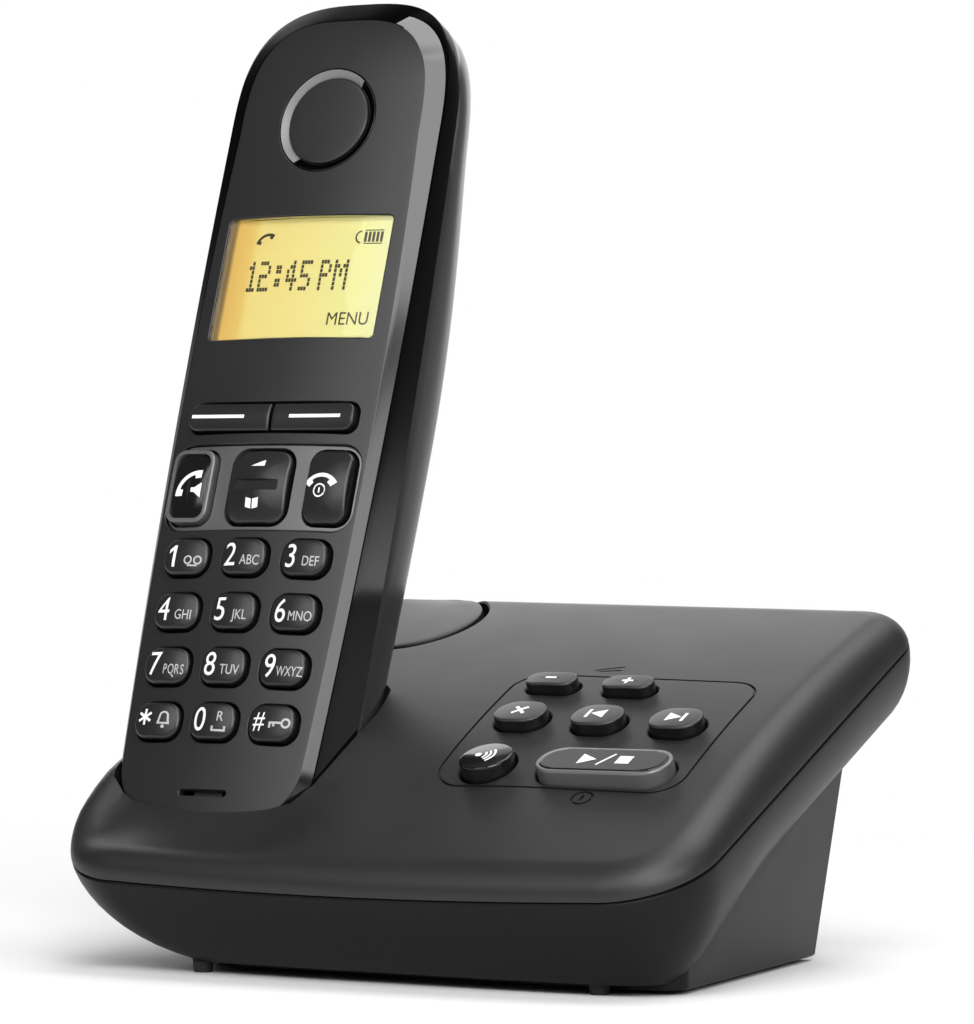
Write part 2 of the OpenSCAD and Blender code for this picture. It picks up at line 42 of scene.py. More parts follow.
baseMm = (Matrix.Translation((0, phone["frontY"], phone["seamZ"]))
          @ Matrix.Rotation(math.radians(phone["tilt"]), 4, "X"))
handMm = (baseMm @ Matrix.Translation((phone["handX"], phone["footT"], phone["footH"]))
          @ Matrix.Rotation(math.radians(90 - phone["lean"] - phone["tilt"]), 4, "X"))
floorMm = Matrix.Translation((0, phone["frontY"], 0))


# Mesh helpers, all through the operators a modeller uses
def deselect():
    if bpy.context.mode != "OBJECT":
        bpy.ops.object.mode_set(mode="OBJECT")
    bpy.ops.object.select_all(action="DESELECT")


def only(obj):
    deselect()
    obj.select_set(True)
    bpy.context.view_layer.objects.active = obj


def loft(name, rings, caps=True, closed=False):
    deselect()
    bpy.ops.mesh.primitive_circle_add(vertices=len(rings[0]), radius=1.0)
    obj = bpy.context.object
    obj.name = obj.data.name = name
    bpy.ops.object.mode_set(mode="EDIT")
    mesh = bmesh.from_edit_mesh(obj.data)
    spot = mesh.verts.layers.int.new("spot")
    step = mesh.verts.layers.int.new("step")
    for i, v in enumerate(mesh.verts):
        v[spot], v[step], v.co = i, 0, rings[0][i]
    for k, ring in enumerate(rings[1:], 1):
        bpy.ops.mesh.extrude_region_move()
        mesh = bmesh.from_edit_mesh(obj.data)
        spot, step = mesh.verts.layers.int["spot"], mesh.verts.layers.int["step"]
        for v in mesh.verts:
            if v.select:
                v.co, v[step] = ring[v[spot]], k
        bmesh.update_edit_mesh(obj.data)
    if caps:
        bpy.ops.mesh.edge_face_add()
    if caps or closed:
        ends = (0, len(rings) - 1) if closed else (0,)
        bpy.ops.mesh.select_all(action="DESELECT")
        mesh = bmesh.from_edit_mesh(obj.data)
        step = mesh.verts.layers.int["step"]
        for e in mesh.edges:
            if e.verts[0][step] == e.verts[1][step] and e.verts[0][step] in ends:
                e.select_set(True)
        bmesh.update_edit_mesh(obj.data)
        if closed:
            bpy.ops.mesh.bridge_edge_loops()
        else:
            bpy.ops.mesh.edge_face_add()
    bpy.ops.mesh.select_all(action="SELECT")
    bpy.ops.mesh.normals_make_consistent(inside=False)
    bpy.ops.object.mode_set(mode="OBJECT")
    for layer in ("spot", "step"):
        obj.data.attributes.remove(obj.data.attributes[layer])
    return obj


def splitCaps(obj):
    only(obj)
    bpy.ops.object.mode_set(mode="EDIT")
    bpy.ops.mesh.select_all(action="DESELECT")
    bpy.ops.mesh.select_face_by_sides(number=4, type="GREATER")
    bpy.ops.mesh.quads_convert_to_tris(quad_method="BEAUTY", ngon_method="BEAUTY")
    bpy.ops.object.mode_set(mode="OBJECT")
    return obj


def place(obj, matrix):
    only(obj)
    obj.matrix_world = matrix
    bpy.ops.object.transform_apply(location=True, rotation=True, scale=True)
    return obj


def copyOf(obj, name, shift=(0, 0, 0)):
    twin = obj.copy()
    twin.data = obj.data.copy()
    twin.name = twin.data.name = name
    bpy.context.scene.collection.objects.link(twin)
    return place(twin, Matrix.Translation(shift))


def joined(objs, name):
    deselect()
    for o in objs:
        o.select_set(True)
    bpy.context.view_layer.objects.active = objs[0]
    if len(objs) > 1:
        bpy.ops.object.join()
    objs[0].name = objs[0].data.name = name
    return objs[0]


def carve(obj, tool, how="DIFFERENCE"):
    only(obj)
    m = obj.modifiers.new("carve", "BOOLEAN")
    m.operation, m.solver, m.object = how, "EXACT", tool
    bpy.ops.object.modifier_apply(modifier=m.name)
    bpy.data.objects.remove(tool)
    return obj


def lerp(a, b, f):
    return tuple(p + (q - p) * f for p, q in zip(a, b))


# Outlines, all counter-clockwise with a fixed number of points
def onArc(r, deg, cx=0.0, cy=0.0):
    return (cx + r * math.cos(math.radians(deg)), cy + r * math.sin(math.radians(deg)))


def roundRect(w, h, r, n=8, m=4, inner=None):
    r = max(min(r, w / 2, h / 2), 0.02)
    corners = []
    for cx, cy, a0 in ((1, -1, -90), (1, 1, 0), (-1, 1, 90), (-1, -1, 180)):
        q = r if inner is None or cx < 0 else max(min(inner, r), 0.02)
        ox, oy = cx * (w / 2 - q), cy * (h / 2 - q)
        corners.append([onArc(q, a0 + 90 * k / n, ox, oy) for k in range(n + 1)])
    pts = []
    for i, corner in enumerate(corners):
        pts += corner
        pts += [lerp(corner[-1], corners[(i + 1) % 4][0], k / (m + 1)) for k in range(1, m + 1)]
    return pts


def circle(r, n=72):
    return [(r * math.cos(2 * math.pi * k / n), r * math.sin(2 * math.pi * k / n)) for k in range(n)]


def raised(pts, height, cx=0.0, cy=0.0):
    return [(x + cx, y + cy, height(x + cx, y + cy) if callable(height) else height) for x, y in pts]


def towards(ring, spine, f, height):
    out = []
    for p in ring:
        s = spine(p)
        x, y = p[0] + (s[0] - p[0]) * f, p[1] + (s[1] - p[1]) * f
        out.append((x, y, height(x, y)))
    return out


# A straight block or cutter between two heights
def post(pts, low, high, cx=0.0, cy=0.0):
    return loft("post", [raised(pts, z, cx, cy) for z in (low, high)])


# Handset outline and heights: x across, y up from the foot, w out of the face
handset = {"length": 165.0, "half": 23.3, "thick": 26.4, "faceR": 140.0, "cornerR": 14.0, "tipLen": 29.0,
           "midY": 115.0, "sideR": 2116.0, "tipBlunt": 0.667, "seamFoot": -16.0, "seamRise": 8.3,
           "bendY": 80.0, "bend": 0.0022, "bendMost": 8.0, "spineIn": 0.02, "spineFrom": 20.0, "spineSpan": 116.0}
handSteps = {"foot": (0.125, 0.375, 0.625, 0.875), "corner": 12, "side": 28, "tip": 26, "tipEnd": 26.6,
             "tipSpread": 1.25}
tipY = handset["length"] - handset["tipLen"]
tipRoll = {"from": 146.0, "span": 19.0, "drop": 0.7, "back": 2.0}


def halfWidth(y):
    return handset["half"] - (y - handset["midY"]) ** 2 / (2 * handset["sideR"])


def seamW(y):
    return handset["seamFoot"] + handset["seamRise"] * y / handset["length"]


def backW(y):
    rise = handset["bend"] * max(y - handset["bendY"], 0) ** 2
    if rise > 0.01:
        rise = (rise ** -6 + handset["bendMost"] ** -6) ** (-1 / 6)
    return rise - handset["thick"]


def crown(x, y=0, drop=0.0):
    r = handset["faceR"]
    return math.sqrt((r - drop) ** 2 - x * x) - r


def mirrored(half):
    return half + [(-x, y) for x, y in reversed(half)]


def handOutline(e, tip, grow=0.0):
    r = handset["cornerR"]
    xc = halfWidth(r) - r
    half = [(xc * f, e) for f in handSteps["foot"]]
    for k in range(handSteps["corner"]):
        a = math.radians(90 * k / handSteps["corner"])
        half.append((xc + (r - e) * math.sin(a), r - (r - e) * math.cos(a)))
    for k in range(handSteps["side"] + 1):
        y = r + (tipY - r) * k / handSteps["side"]
        half.append((halfWidth(y) - e - grow * (k / handSteps["side"]) ** 2, y))
    for k in range(1, handSteps["tip"] + 1):
        a = math.radians(90 * (k / handSteps["tipEnd"]) ** handSteps["tipSpread"])
        half.append(((halfWidth(tipY) - e - grow) * math.cos(a) ** handset["tipBlunt"],
                     tipY + (handset["tipLen"] - tip * (e + grow)) * math.sin(a) ** handset["tipBlunt"]))
    return mirrored(half)


# The last stretch of the shells rolls back a little
def settleTip(obj):
    for v in obj.data.vertices:
        k = max(v.co.y - tipRoll["from"], 0) / tipRoll["span"]
        v.co.y -= tipRoll["drop"] * k * k
        v.co.z -= tipRoll["back"] * k * k
    return obj


def handSpine(p):
    return (handset["spineIn"] * p[0], handset["spineFrom"] + (p[1] / handset["length"]) * handset["spineSpan"])


# Base outline and heights: x across, t up the slope, h above the seam
base = {"half": 65.0, "length": 108.0, "frontR": 17.0, "rearR": 9.6, "leastR": 1.5, "bow": 2.0, "topH": 9.9,
        "edgeR": 6.5, "hullA": 17.3, "hullD": 18.7, "hullBlunt": 1.14, "skew": 0.002, "wall": 2.2,
        "noseT": 30.0, "noseDrop": 2.03, "noseSlope": 0.1, "crestT": 62.0, "frontSag": 504.0, "rearSag": 620.0,
        "spineIn": 0.45, "spineT": 54.0, "spineFlat": 0.02}
baseSteps = {"front": (0.04, 0.14, 0.26, 0.38, 0.5, 0.62, 0.74, 0.86, 0.95), "frontCorner": 14, "side": 22,
             "rearCorner": 12, "rear": (0.88, 0.74, 0.6, 0.46, 0.32, 0.18, 0.06)}
# Low forms on the top: height, middle x, flat half width, reach in x, middle t, reach in t
topForms = {"mound": (3.8, -66, 0, 11, 24, 24), "dish": (-2.7, -40, 14, 18, 14, 14),
            "hollow": (-0.9, 3, 0, 22, 20, 22)}
baseX1 = base["half"] - base["frontR"]


def topH(t):
    if t < base["noseT"]:
        return base["topH"] - base["noseDrop"] - base["noseSlope"] * (base["noseT"] - t)
    return base["topH"] - (t - base["crestT"]) ** 2 / base["frontSag" if t < base["crestT"] else "rearSag"]


def bell(d):
    return math.cos(math.pi * min(abs(d), 1) / 2) ** 2


def plainTop(x, t):
    return topH(t) * (1 - base["skew"] * x)


def topAt(x, t):
    h = plainTop(x, t)
    for high, midX, flat, reachX, midT, reachT in topForms.values():
        h += high * bell(max(abs(x - midX) - flat, 0) / reachX) * bell((t - midT) / reachT)
    return h


def rolledTop(x, t):
    inset = max(min((base["length"] - t) / base["edgeR"], 1), 0)
    return topAt(x, t) * math.sin(math.acos(1 - inset))


def baseOutline(e, mf=1.0, mr=1.0, q=0.0):
    fr = max(base["frontR"] + (q - 1) * e, base["leastR"])
    xc = base["half"] - e - fr

    def frontAt(x):
        return base["bow"] * (x / baseX1) ** 2 + e * mf
    yc = frontAt(xc) + fr
    half = [(xc * f, frontAt(xc * f)) for f in baseSteps["front"]]
    for k in range(baseSteps["frontCorner"] + 1):
        a = math.radians(90 * k / baseSteps["frontCorner"])
        half.append((xc + fr * math.sin(a), yc - fr * math.cos(a)))
    rr = max(base["rearR"] + (q - 1) * e, base["leastR"])
    t1 = base["length"] - mr * e - rr
    for k in range(1, baseSteps["side"]):
        half.append((base["half"] - e, yc + (t1 - yc) * k / baseSteps["side"]))
    xr = base["half"] - e - rr
    for k in range(baseSteps["rearCorner"] + 1):
        half.append(onArc(rr, 90 * k / baseSteps["rearCorner"], xr, t1))
    half += [(xr * f, t1 + rr) for f in baseSteps["rear"]]
    return mirrored(half)


def baseSpine(p):
    return (base["spineIn"] * p[0], base["spineT"] + base["spineFlat"] * (p[1] - base["spineT"]))


# Materials: one class wraps a socket, one makes the nodes
class Wire:
    def __init__(self, paint, out):
        self.paint, self.out = paint, out

    def math(self, how, a, b):
        return self.paint.node("ShaderNodeMath", {"operation": how}, a, b)

    def __add__(self, o):
        return self.math("ADD", self, o)

    def __radd__(self, o):
        return self.math("ADD", o, self)

    def __sub__(self, o):
        return self.math("SUBTRACT", self, o)

    def __mul__(self, o):
        return self.math("MULTIPLY", self, o)

    def __rmul__(self, o):
        return self.math("MULTIPLY", o, self)


class Paint:
    def __init__(self, name):
        self.material = bpy.data.materials.new(name)
        self.material.use_nodes = True
        self.tree = self.material.node_tree
        self.shader = self.tree.nodes["Principled BSDF"]
        self.spot = Wire(self, self.tree.nodes.new("ShaderNodeTexCoord").outputs["Object"])

    def feed(self, socket, value):
        if isinstance(value, Wire):
            self.tree.links.new(value.out, socket)
        else:
            socket.default_value = value

    def node(self, kind, settings, *values, out=0, **named):
        n = self.tree.nodes.new(kind)
        for key, value in settings.items():
            if key == "stops":
                ramp = n.color_ramp.elements
                while len(ramp) < len(value):
                    ramp.new(0.5)
                for stop, (pos, colour) in zip(ramp, value):
                    stop.position, stop.color = pos, (*colour, 1)
            else:
                setattr(n, key, value)
        for socket, value in zip(n.inputs, values):
            self.feed(socket, value)
        for key, value in named.items():
            self.feed(n.inputs[key.replace("_", " ")], value)
        return Wire(self, n.outputs[out])

    def noise(self, scale, detail=2.0, rough=0.5):
        return self.node("ShaderNodeTexNoise", {}, Vector=self.spot, Scale=scale, Detail=detail,
                         Roughness=rough)

    def smooth(self, value, low, high):
        return self.node("ShaderNodeMapRange", {"interpolation_type": "SMOOTHSTEP"}, value, low, high, 0.0, 1.0)

    def blend(self, f, a, b):
        n = self.tree.nodes.new("ShaderNodeMix")
        n.data_type = "RGBA"
        for socket, value in ((n.inputs[0], f), (n.inputs[6], a), (n.inputs[7], b)):
            self.feed(socket, value)
        return Wire(self, n.outputs[2])

    def bump(self, height, strength, distance):
        return self.node("ShaderNodeBump", {}, Strength=strength, Distance=distance, Height=height)

    def set(self, **named):
        for key, value in named.items():
            self.feed(self.shader.inputs[key.replace("_", " ")], value)
        return self.material


def grey(v):
    return (v, v, v, 1)


# Scales of the moulded grain: noise per metre, height in metres
grainFine, grainBroad, grainHeight = (2600, 3, 0.6), (55, 3, 0.55), 0.0001


def plastic(name, colour, rough, grain, mottle=0.12):
    p = Paint(name)
    fine, broad = p.noise(*grainFine), p.noise(*grainBroad)
    dark = tuple(c * (1 - mottle) for c in colour[:3]) + (1,)
    light = tuple(c * (1 + mottle) for c in colour[:3]) + (1,)
    return p.set(Base_Color=p.blend(0.75 * broad + 0.25 * fine, dark, light),
                 Roughness=rough + 0.10 * (broad - 0.5), Normal=p.bump(fine, grain, grainHeight), IOR=1.5)


# Painted light and shade: a satin whose tone and coat change with height on the part
def fading(name, tones, coats, heights, rough, shine, coatIor=1.7):
    p = Paint(name)
    fine = p.noise(*grainFine)
    up = p.node("ShaderNodeSeparateXYZ", {}, p.spot, out=2)
    rise = p.smooth(up, *heights)
    coat = coats[0] + (coats[1] - coats[0]) * rise if coats[0] != coats[1] else coats[0]
    return p.set(Base_Color=p.blend(rise, grey(tones[0]), grey(tones[1])), Roughness=rough + 0.06 * (fine - 0.5),
                 Coat_Weight=coat, Coat_Roughness=rough, Coat_IOR=coatIor,
                 Normal=p.bump(fine, 0.04, grainHeight), IOR=1.5, Specular_IOR_Level=shine)


def tune(material, **named):
    for key, value in named.items():
        material.node_tree.nodes["Principled BSDF"].inputs[key.replace("_", " ")].default_value = value


facePlastic = plastic("faceSatin", grey(0.014), 0.34, 0.10)
# Polished strip: painted highlight, its tone rises from black to pale grey over the shoulder near the tip
rimGlossPaintedHighlight = fading("rimGlossPaintedHighlight", (0.006, 0.2), (0.0, 0.0), (0.1648, 0.1695), 0.16, 0.5)
# Gloss side: painted shade, darker and without coat towards the top
rimSidePaintedShade = fading("rimSidePaintedShade", (0.004, 0.001), (0.9, 0.0), (0.05, 0.10), 0.14, 0.1)
# Painted shade: a dull black for strip and ear-ring faces turned away from the light
rimPaintedShade = fading("rimPaintedShade", (0.002, 0.001), (0.1, 0.0), (0.06, 0.15), 0.2, 0.01)
# Rear shell and door: painted light and shade, lighter and matte low down, darker and coated towards the top
casePaintedShade = fading("caseSatinPaintedShade", (0.028, 0.008), (0.0, 1.0), (0.09, 0.165), 0.24, 0.2, 2.2)
# Painted highlight for the lit arc of the ear ring's bevel
ringPaintedHighlight = plastic("ringPaintedHighlight", grey(0.17), 0.4, 0.03)
basePlastic = plastic("baseSatin", grey(0.009), 0.46, 0.12)
hullPlastic = plastic("hullSatin", grey(0.009), 0.40, 0.12)
keyPlastic = plastic("keySatin", grey(0.012), 0.30, 0.06)
keyTop = plastic("keyTop", grey(0.018), 0.38, 0.08)
keySide = plastic("keySide", grey(0.006), 0.22, 0.03)
blackGloss = plastic("blackGloss", grey(0.004), 0.09, 0.0)
silver = plastic("silverLacquer", grey(0.15), 0.34, 0.05)
legendWhite = plastic("legendWhite", grey(0.80), 0.45, 0.02, mottle=0.03)
legendGrey = plastic("legendGrey", grey(0.42), 0.45, 0.02, mottle=0.03)
rubber = plastic("footRubber", grey(0.012), 0.75, 0.25)
socketPlastic = plastic("socketPlastic", grey(0.012), 0.5, 0.1)
boardGreen = plastic("boardLacquer", (0.02, 0.10, 0.045, 1), 0.35, 0.08)
cellWrap = plastic("cellWrap", (0.05, 0.26, 0.11, 1), 0.25, 0.03)
speakerMetal = plastic("speakerCan", grey(0.10), 0.4, 0.1)
steel = plastic("platedSteel", grey(0.60), 0.28, 0.05)
gold = plastic("goldPlate", (0.72, 0.50, 0.18, 1), 0.25, 0.04)
tune(silver, Metallic=0.55)
tune(hullPlastic, Specular_IOR_Level=0.12)
for metal in (steel, gold, speakerMetal):
    tune(metal, Metallic=1.0)
print("materials ready")


# Hands a finished piece over to the frame
def handOver(obj, body, replaces=(), paints=(), angle=32, weighted=True, matrix=None):
    if matrix is not None:
        place(obj, matrix)
    place(obj, Matrix.Scale(phone["toMetres"], 4))
    if paints:
        kept = [p.material_index for p in obj.data.polygons]
        obj.data.materials.clear()
        for m in paints:
            obj.data.materials.append(m)
        for p, k in zip(obj.data.polygons, kept):
            p.material_index = min(k, len(paints) - 1)
    only(obj)
    bpy.ops.object.shade_smooth_by_angle(angle=math.radians(angle))
    if weighted:
        m = obj.modifiers.new("evenNormals", "WEIGHTED_NORMAL")
        m.mode, m.weight, m.keep_sharp = "FACE_AREA", 90, True
        bpy.ops.object.modifier_apply(modifier=m.name)
    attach(obj, body)
    if replaces:
        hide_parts(*replaces)
    return obj


def paintFaces(obj, index, test):
    for p in obj.data.polygons:
        if test(p):
            p.material_index = index


# Camera at the photograph's place
shot = {"place": (0.45574, -0.78305, 0.0852), "pitch": 89.798, "turn": 30.235, "lens": 175.78, "sensor": 36.0,
        "near": 0.05, "far": 50}
deselect()
bpy.ops.object.camera_add(location=shot["place"],
                          rotation=(math.radians(shot["pitch"]), 0, math.radians(shot["turn"])))
camera = bpy.context.object
camera.data.lens, camera.data.sensor_width = shot["lens"], shot["sensor"]
camera.data.clip_start, camera.data.clip_end = shot["near"], shot["far"]
bpy.context.scene.camera = camera
bpy.context.scene.view_settings.view_transform = "Standard"
print("camera ready")

# Handset front: seam groove, gloss side, polished strip, crowned face
front = {"seamEdge": 0.55, "tip": 1.2, "sideW": -6.2, "stripLow": -3.4, "stripHigh": 0.05, "stripIn": 2.72,
         "stripGrow": 3.45, "stripTip": 0.95, "outer": 0.04, "dark": 0.06, "shadeRise": 0.86, "shadePower": 0.75,
         "turnedAway": 0.22, "wall": 2.0, "inset": 2.2, "hollowTip": 1.8}
frontSteps = (0.02, 0.07, 0.16, 0.27, 0.38, 0.5, 0.62, 0.74, 0.86, 0.97)


# The part of the strip's width painted dark as shade, rising over the shoulder to the tip
def darkShare(x, y):
    if y < tipY:
        return front["dark"]
    across = 1 - min(abs(x) / halfWidth(tipY), 1)
    return front["dark"] + front["shadeRise"] * across ** front["shadePower"]


def stripEdge():
    low = handOutline(0, front["tip"])
    high = handOutline(front["stripIn"], front["stripTip"], front["stripGrow"])
    w0, w1 = front["stripLow"], front["stripHigh"]
    stops = []
    for a, b in zip(low, high):
        s0, s1 = 0.0, 1.0
        for _ in range(40):
            s = (s0 + s1) / 2
            x = a[0] + (b[0] - a[0]) * s
            if w0 + (w1 - w0) * s < crown(x):
                s0 = s
            else:
                s1 = s
        stops.append(s0)

    def ring(f, back=0.0, sink=0.0):
        out = []
        for a, b, s in zip(low, high, stops):
            dark = darkShare(*a)
            k = s * (front["outer"] if f is None else dark + (1 - dark) * f) - back
            x, y = lerp(a, b, k)
            out.append((x, y, w0 + (w1 - w0) * k - sink))
        return out
    return ring


def frontShell():
    tip, strip = front["tip"], stripEdge()
    edge, outer = strip(1.0), strip(None)
    rings = [raised(handOutline(front["seamEdge"], tip), lambda x, y: seamW(y) + 0.05),
             raised(handOutline(0.22, tip), lambda x, y: seamW(y) + 0.35),
             raised(handOutline(0.1, tip), lambda x, y: (seamW(y) + front["sideW"]) / 2)]
    rings += [raised(handOutline(0, tip), w) for w in (front["sideW"], -5.0, -3.6)]
    rings += [outer] + [strip(f) for f in (0.001, 0.3, 0.65)] + [strip(1.0, back=0.03), strip(1.0, sink=0.04)]
    rings += [towards(edge, handSpine, f, crown) for f in frontSteps]
    obj = loft("handsetFront", rings)

    # Face 0, polished strip 1, gloss side 2, painted shade 3: strip faces turned away from the light, its band along
    # the outer edge and over the shoulder
    paintFaces(obj, 1, lambda p: p.center.z < crown(p.center.x) - 0.05)
    paintFaces(obj, 2, lambda p: p.center.z < front["stripLow"] - 0.1)
    paintFaces(obj, 3, lambda p: p.material_index == 1 and p.normal.x < front["turnedAway"])
    corner = {tuple(round(c, 3) for c in p) for p in outer}
    marks = {v.index for v in obj.data.vertices if tuple(round(c, 3) for c in v.co) in corner}
    paintFaces(obj, 3, lambda p: p.material_index == 1 and any(i in marks for i in p.vertices))

    def ceiling(x, y):
        return crown(x, y, front["wall"])
    inset, blunt = front["inset"], front["hollowTip"]
    hollow = [raised(handOutline(inset, blunt), lambda x, y: seamW(y) - 3), raised(handOutline(inset, blunt), -5.6),
              raised(handOutline(inset + 1.1, blunt), ceiling)]
    top = hollow[-1]
    hollow += [towards(top, handSpine, f, ceiling) for f in (0.2, 0.5, 0.8, 0.97)]
    carve(obj, loft("frontHollow", hollow))
    return settleTip(obj)


# A straight opening through the face with a small flare at the top
faceCut = {"low": -7.0, "top": 4.0}


def opening(pts, cx, cy, flare=0.3):
    def grown(g):
        out = []
        n = len(pts)
        for i, (x, y) in enumerate(pts):
            ax, ay = pts[i - 1]
            bx, by = pts[(i + 1) % n]
            dx, dy = bx - ax, by - ay
            d = math.hypot(dx, dy) or 1
            out.append((x + g * dy / d, y - g * dx / d))
        return out

    def at(g, drop):
        return raised(grown(g), lambda x, y: crown(x) - drop, cx, cy)
    return loft("hole", [raised(pts, faceCut["low"], cx, cy), at(0, flare), at(flare * 0.3, flare * 0.4),
                         at(flare, -0.03), raised(grown(flare), faceCut["top"], cx, cy)])


keypad = {"pitch": 12.7, "narrowing": 0.15, "rowPitch": 10.4, "rowY": 21.3, "w": 9.5, "h": 6.8, "r": 2.8,
          "proud": 1.6, "foot": -4.6, "shoulder": -3.55, "dome": 20.0, "fillet": 0.55, "slack": 0.7, "holeR": 3.1}


def digitPlace(c, r):
    return (c * (keypad["pitch"] - keypad["narrowing"] * r), keypad["rowY"] + (3 - r) * keypad["rowPitch"])


panelY = {"nav": 66.2, "soft": 79.7, "window": 107.3, "ear": 138.5, "mic": 8.2}
faceHoles = {"soft": (roundRect(36.2, 6, 2.1, m=9), 0.3), "nav": (roundRect(40.4, 16.6, 3.9, m=9), 0.3),
             "window": (roundRect(35.8, 24.2, 1.0, m=9), 0.25), "ear": (circle(10.4), 0.12),
             "mic": (roundRect(10, 1.1, 0.5), 0.2)}

handsetFront = frontShell()
keyHole = roundRect(keypad["w"] + keypad["slack"], keypad["h"] + keypad["slack"], keypad["holeR"])
holes = [opening(keyHole, *digitPlace(c, r)) for c in (-1, 0, 1) for r in range(4)]
holes += [opening(pts, 0, panelY[at], flare) for at, (pts, flare) in faceHoles.items()]
carve(handsetFront, joined(holes, "faceHoles"))
handOver(handsetFront, "handset", ["handset_front_shell"],
         [facePlastic, rimGlossPaintedHighlight, rimSidePaintedShade, rimPaintedShade], matrix=handMm)
print("handset front ready")

# Handset rear with its battery bay
rear = {"round": 5.5, "innerRound": 4.2, "tip": 1.2, "bayY": 76.5, "seamEdge": 0.6, "inset": 2.3, "wall": 2.0,
        "outside": -28.0, "boreR": 2.5, "boreX": 9.0, "boreY": (40, 107), "boreW": -22.1}
rearTurns = (3, 9, 16, 23, 30, 37, 44, 51, 58, 65, 72, 79, 85, 90)


def backRing(e, r, lift, deg, tip):
    a = math.radians(deg)
    return raised(handOutline(e + r * (1 - math.cos(a)), tip),
                  lambda x, y: seamW(y) + (backW(y) + lift - seamW(y)) * math.sin(a))


def rearShell():
    tip = rear["tip"]
    rings = [raised(handOutline(rear["seamEdge"], tip), lambda x, y: seamW(y) - 0.02)]
    rings += [backRing(0.25, rear["round"], 0, d, tip) for d in rearTurns]
    flat = rings[-1]
    rings += [towards(flat, handSpine, f, lambda x, y: backW(y)) for f in (0.1, 0.25, 0.4, 0.55, 0.7, 0.85, 0.97)]
    obj = splitCaps(loft("handsetRear", rings))
    hollow = [raised(handOutline(rear["inset"], tip), lambda x, y: seamW(y) + 4)]
    hollow += [backRing(rear["inset"], rear["innerRound"], rear["wall"], d, tip) for d in (0, 20, 40, 60, 75, 90)]
    flat = hollow[-1]
    hollow += [towards(flat, handSpine, f, lambda x, y: backW(y) + rear["wall"]) for f in (0.3, 0.65, 0.97)]
    carve(obj, loft("rearHollow", hollow))

    # Battery bay: its walls, the well for the cells and the ledge for the door
    out, bayY = rear["outside"], rear["bayY"]
    carve(obj, post(roundRect(30, 56, 1), -24.6, -9.7, 0, bayY), "UNION")
    carve(obj, post(roundRect(23.2, 49, 0.6), out, -10.9, 0, bayY))
    carve(obj, post(roundRect(27.8, 53.8, 3.4), out, -23.5, 0, bayY))
    bores = [post(circle(rear["boreR"], 32), out, rear["boreW"], sx * rear["boreX"], sy)
             for sx in (-1, 1) for sy in rear["boreY"]]
    carve(obj, joined(bores, "screwBores"))
    return settleTip(obj)


handsetRear = rearShell()
handOver(handsetRear, "handset", ["handset_rear_shell"], [casePaintedShade], matrix=handMm)
print("handset rear ready")

# Battery door with finger ridges at its lower end
door = {"w": 27.0, "h": 53.0, "r": 3.0, "inside": -23.8, "ridges": 5, "ridgeFrom": -21.5, "ridgeStep": 1.9,
        "ridgeW": 14.0, "ridgeLess": 1.6}


def doorPiece():
    def rr(o):
        return roundRect(door["w"] - 2 * o, door["h"] - 2 * o, door["r"] - o, m=8)

    def back(x, y):
        return backW(y)
    cy = rear["bayY"]
    rings = [raised(rr(0), door["inside"], 0, cy), raised(rr(0), lambda x, y: backW(y) + 0.35, 0, cy),
             raised(rr(0.12), lambda x, y: backW(y) + 0.1, 0, cy), raised(rr(0.4), back, 0, cy)]
    rings += [raised(rr(o), back, 0, cy) for o in (3, 6, 9, 12, 13.3)]
    obj = splitCaps(loft("batteryDoor", rings))
    for k in range(door["ridges"]):
        y = cy + door["ridgeFrom"] + door["ridgeStep"] * k
        w = door["ridgeW"] - door["ridgeLess"] * abs(k - 2)
        wide = roundRect(w, 0.9, 0.44)
        groove = loft("groove", [raised(wide, rear["outside"], 0, y), raised(wide, -26.1, 0, y),
                                 raised(roundRect(w - 0.6, 0.3, 0.14), -25.9, 0, y)])
        carve(obj, groove)
    return obj


batteryDoor = doorPiece()
handOver(batteryDoor, "battery_door", ["battery_door"], [casePaintedShade], matrix=handMm)
print("battery door ready")

# Base top: rolled edge, hollow, cradle pocket, holes for the keys, speaker ring and panel groove
basePanel = {"x": 28.5, "pitch": 15.6, "shift": 0.4, "rows": (62.7, 50.2, 35.0), "proud": 2.2, "foot": 3.7,
             "sky": 20.0}
keyX = basePanel["x"] - basePanel["pitch"] - basePanel["shift"]
# Each key: column, row, nudge in x, width, length, corner
baseKeys = {"key_volume_down": (0, 0, 0, 10, 4.8, 2.2), "key_volume_up": (1, 0, 0, 10, 4.8, 2.2),
            "key_delete": (0, 1, 0, 10, 7.6, 3.6), "key_skip_back": (1, 1, 0, 10, 7.6, 3.6),
            "key_skip_forward": (2, 1, 0, 10, 7.6, 3.6), "key_page": (0, 2, 0.7, 9.8, 9.8, 4.8),
            "key_play_stop": (1.5, 2, 0.9, 26.2, 9.4, 4.6)}
speaker = {"x": -34.0, "t": 91.0, "r": 14.8, "points": 96, "floor": 3.6, "slack": 0.75, "flare": 0.3, "edge": 0.45}
edgeTurns = (8, 16, 24, 32, 40, 48, 56, 63, 70, 77, 84, 90)
topSteps = (0.05, 0.12, 0.2, 0.29, 0.38, 0.47, 0.56, 0.65, 0.74, 0.83, 0.92, 0.98)
seam = {"deep": 0.7, "lip": 0.03, "high": 0.32, "low": -0.36}
# Cradle pocket: inset and depth down the handset's back, for the clearance of its walls
pocket = {"back": ((5.2, -27.1), (3.4, -26.3), (2.0, -25.3), (1.2, -23.2), (0.4, -20.8), (-0.1, -18.9),
                   (-0.3, -15.8)), "side": ((-0.35, -12.6), (-0.35, -3.2)), "rim": 0.3, "above": 0.6, "wall": 2.0}


def basePlace(k):
    return (keyX + k[0] * basePanel["pitch"] + k[2], basePanel["rows"][k[1]])


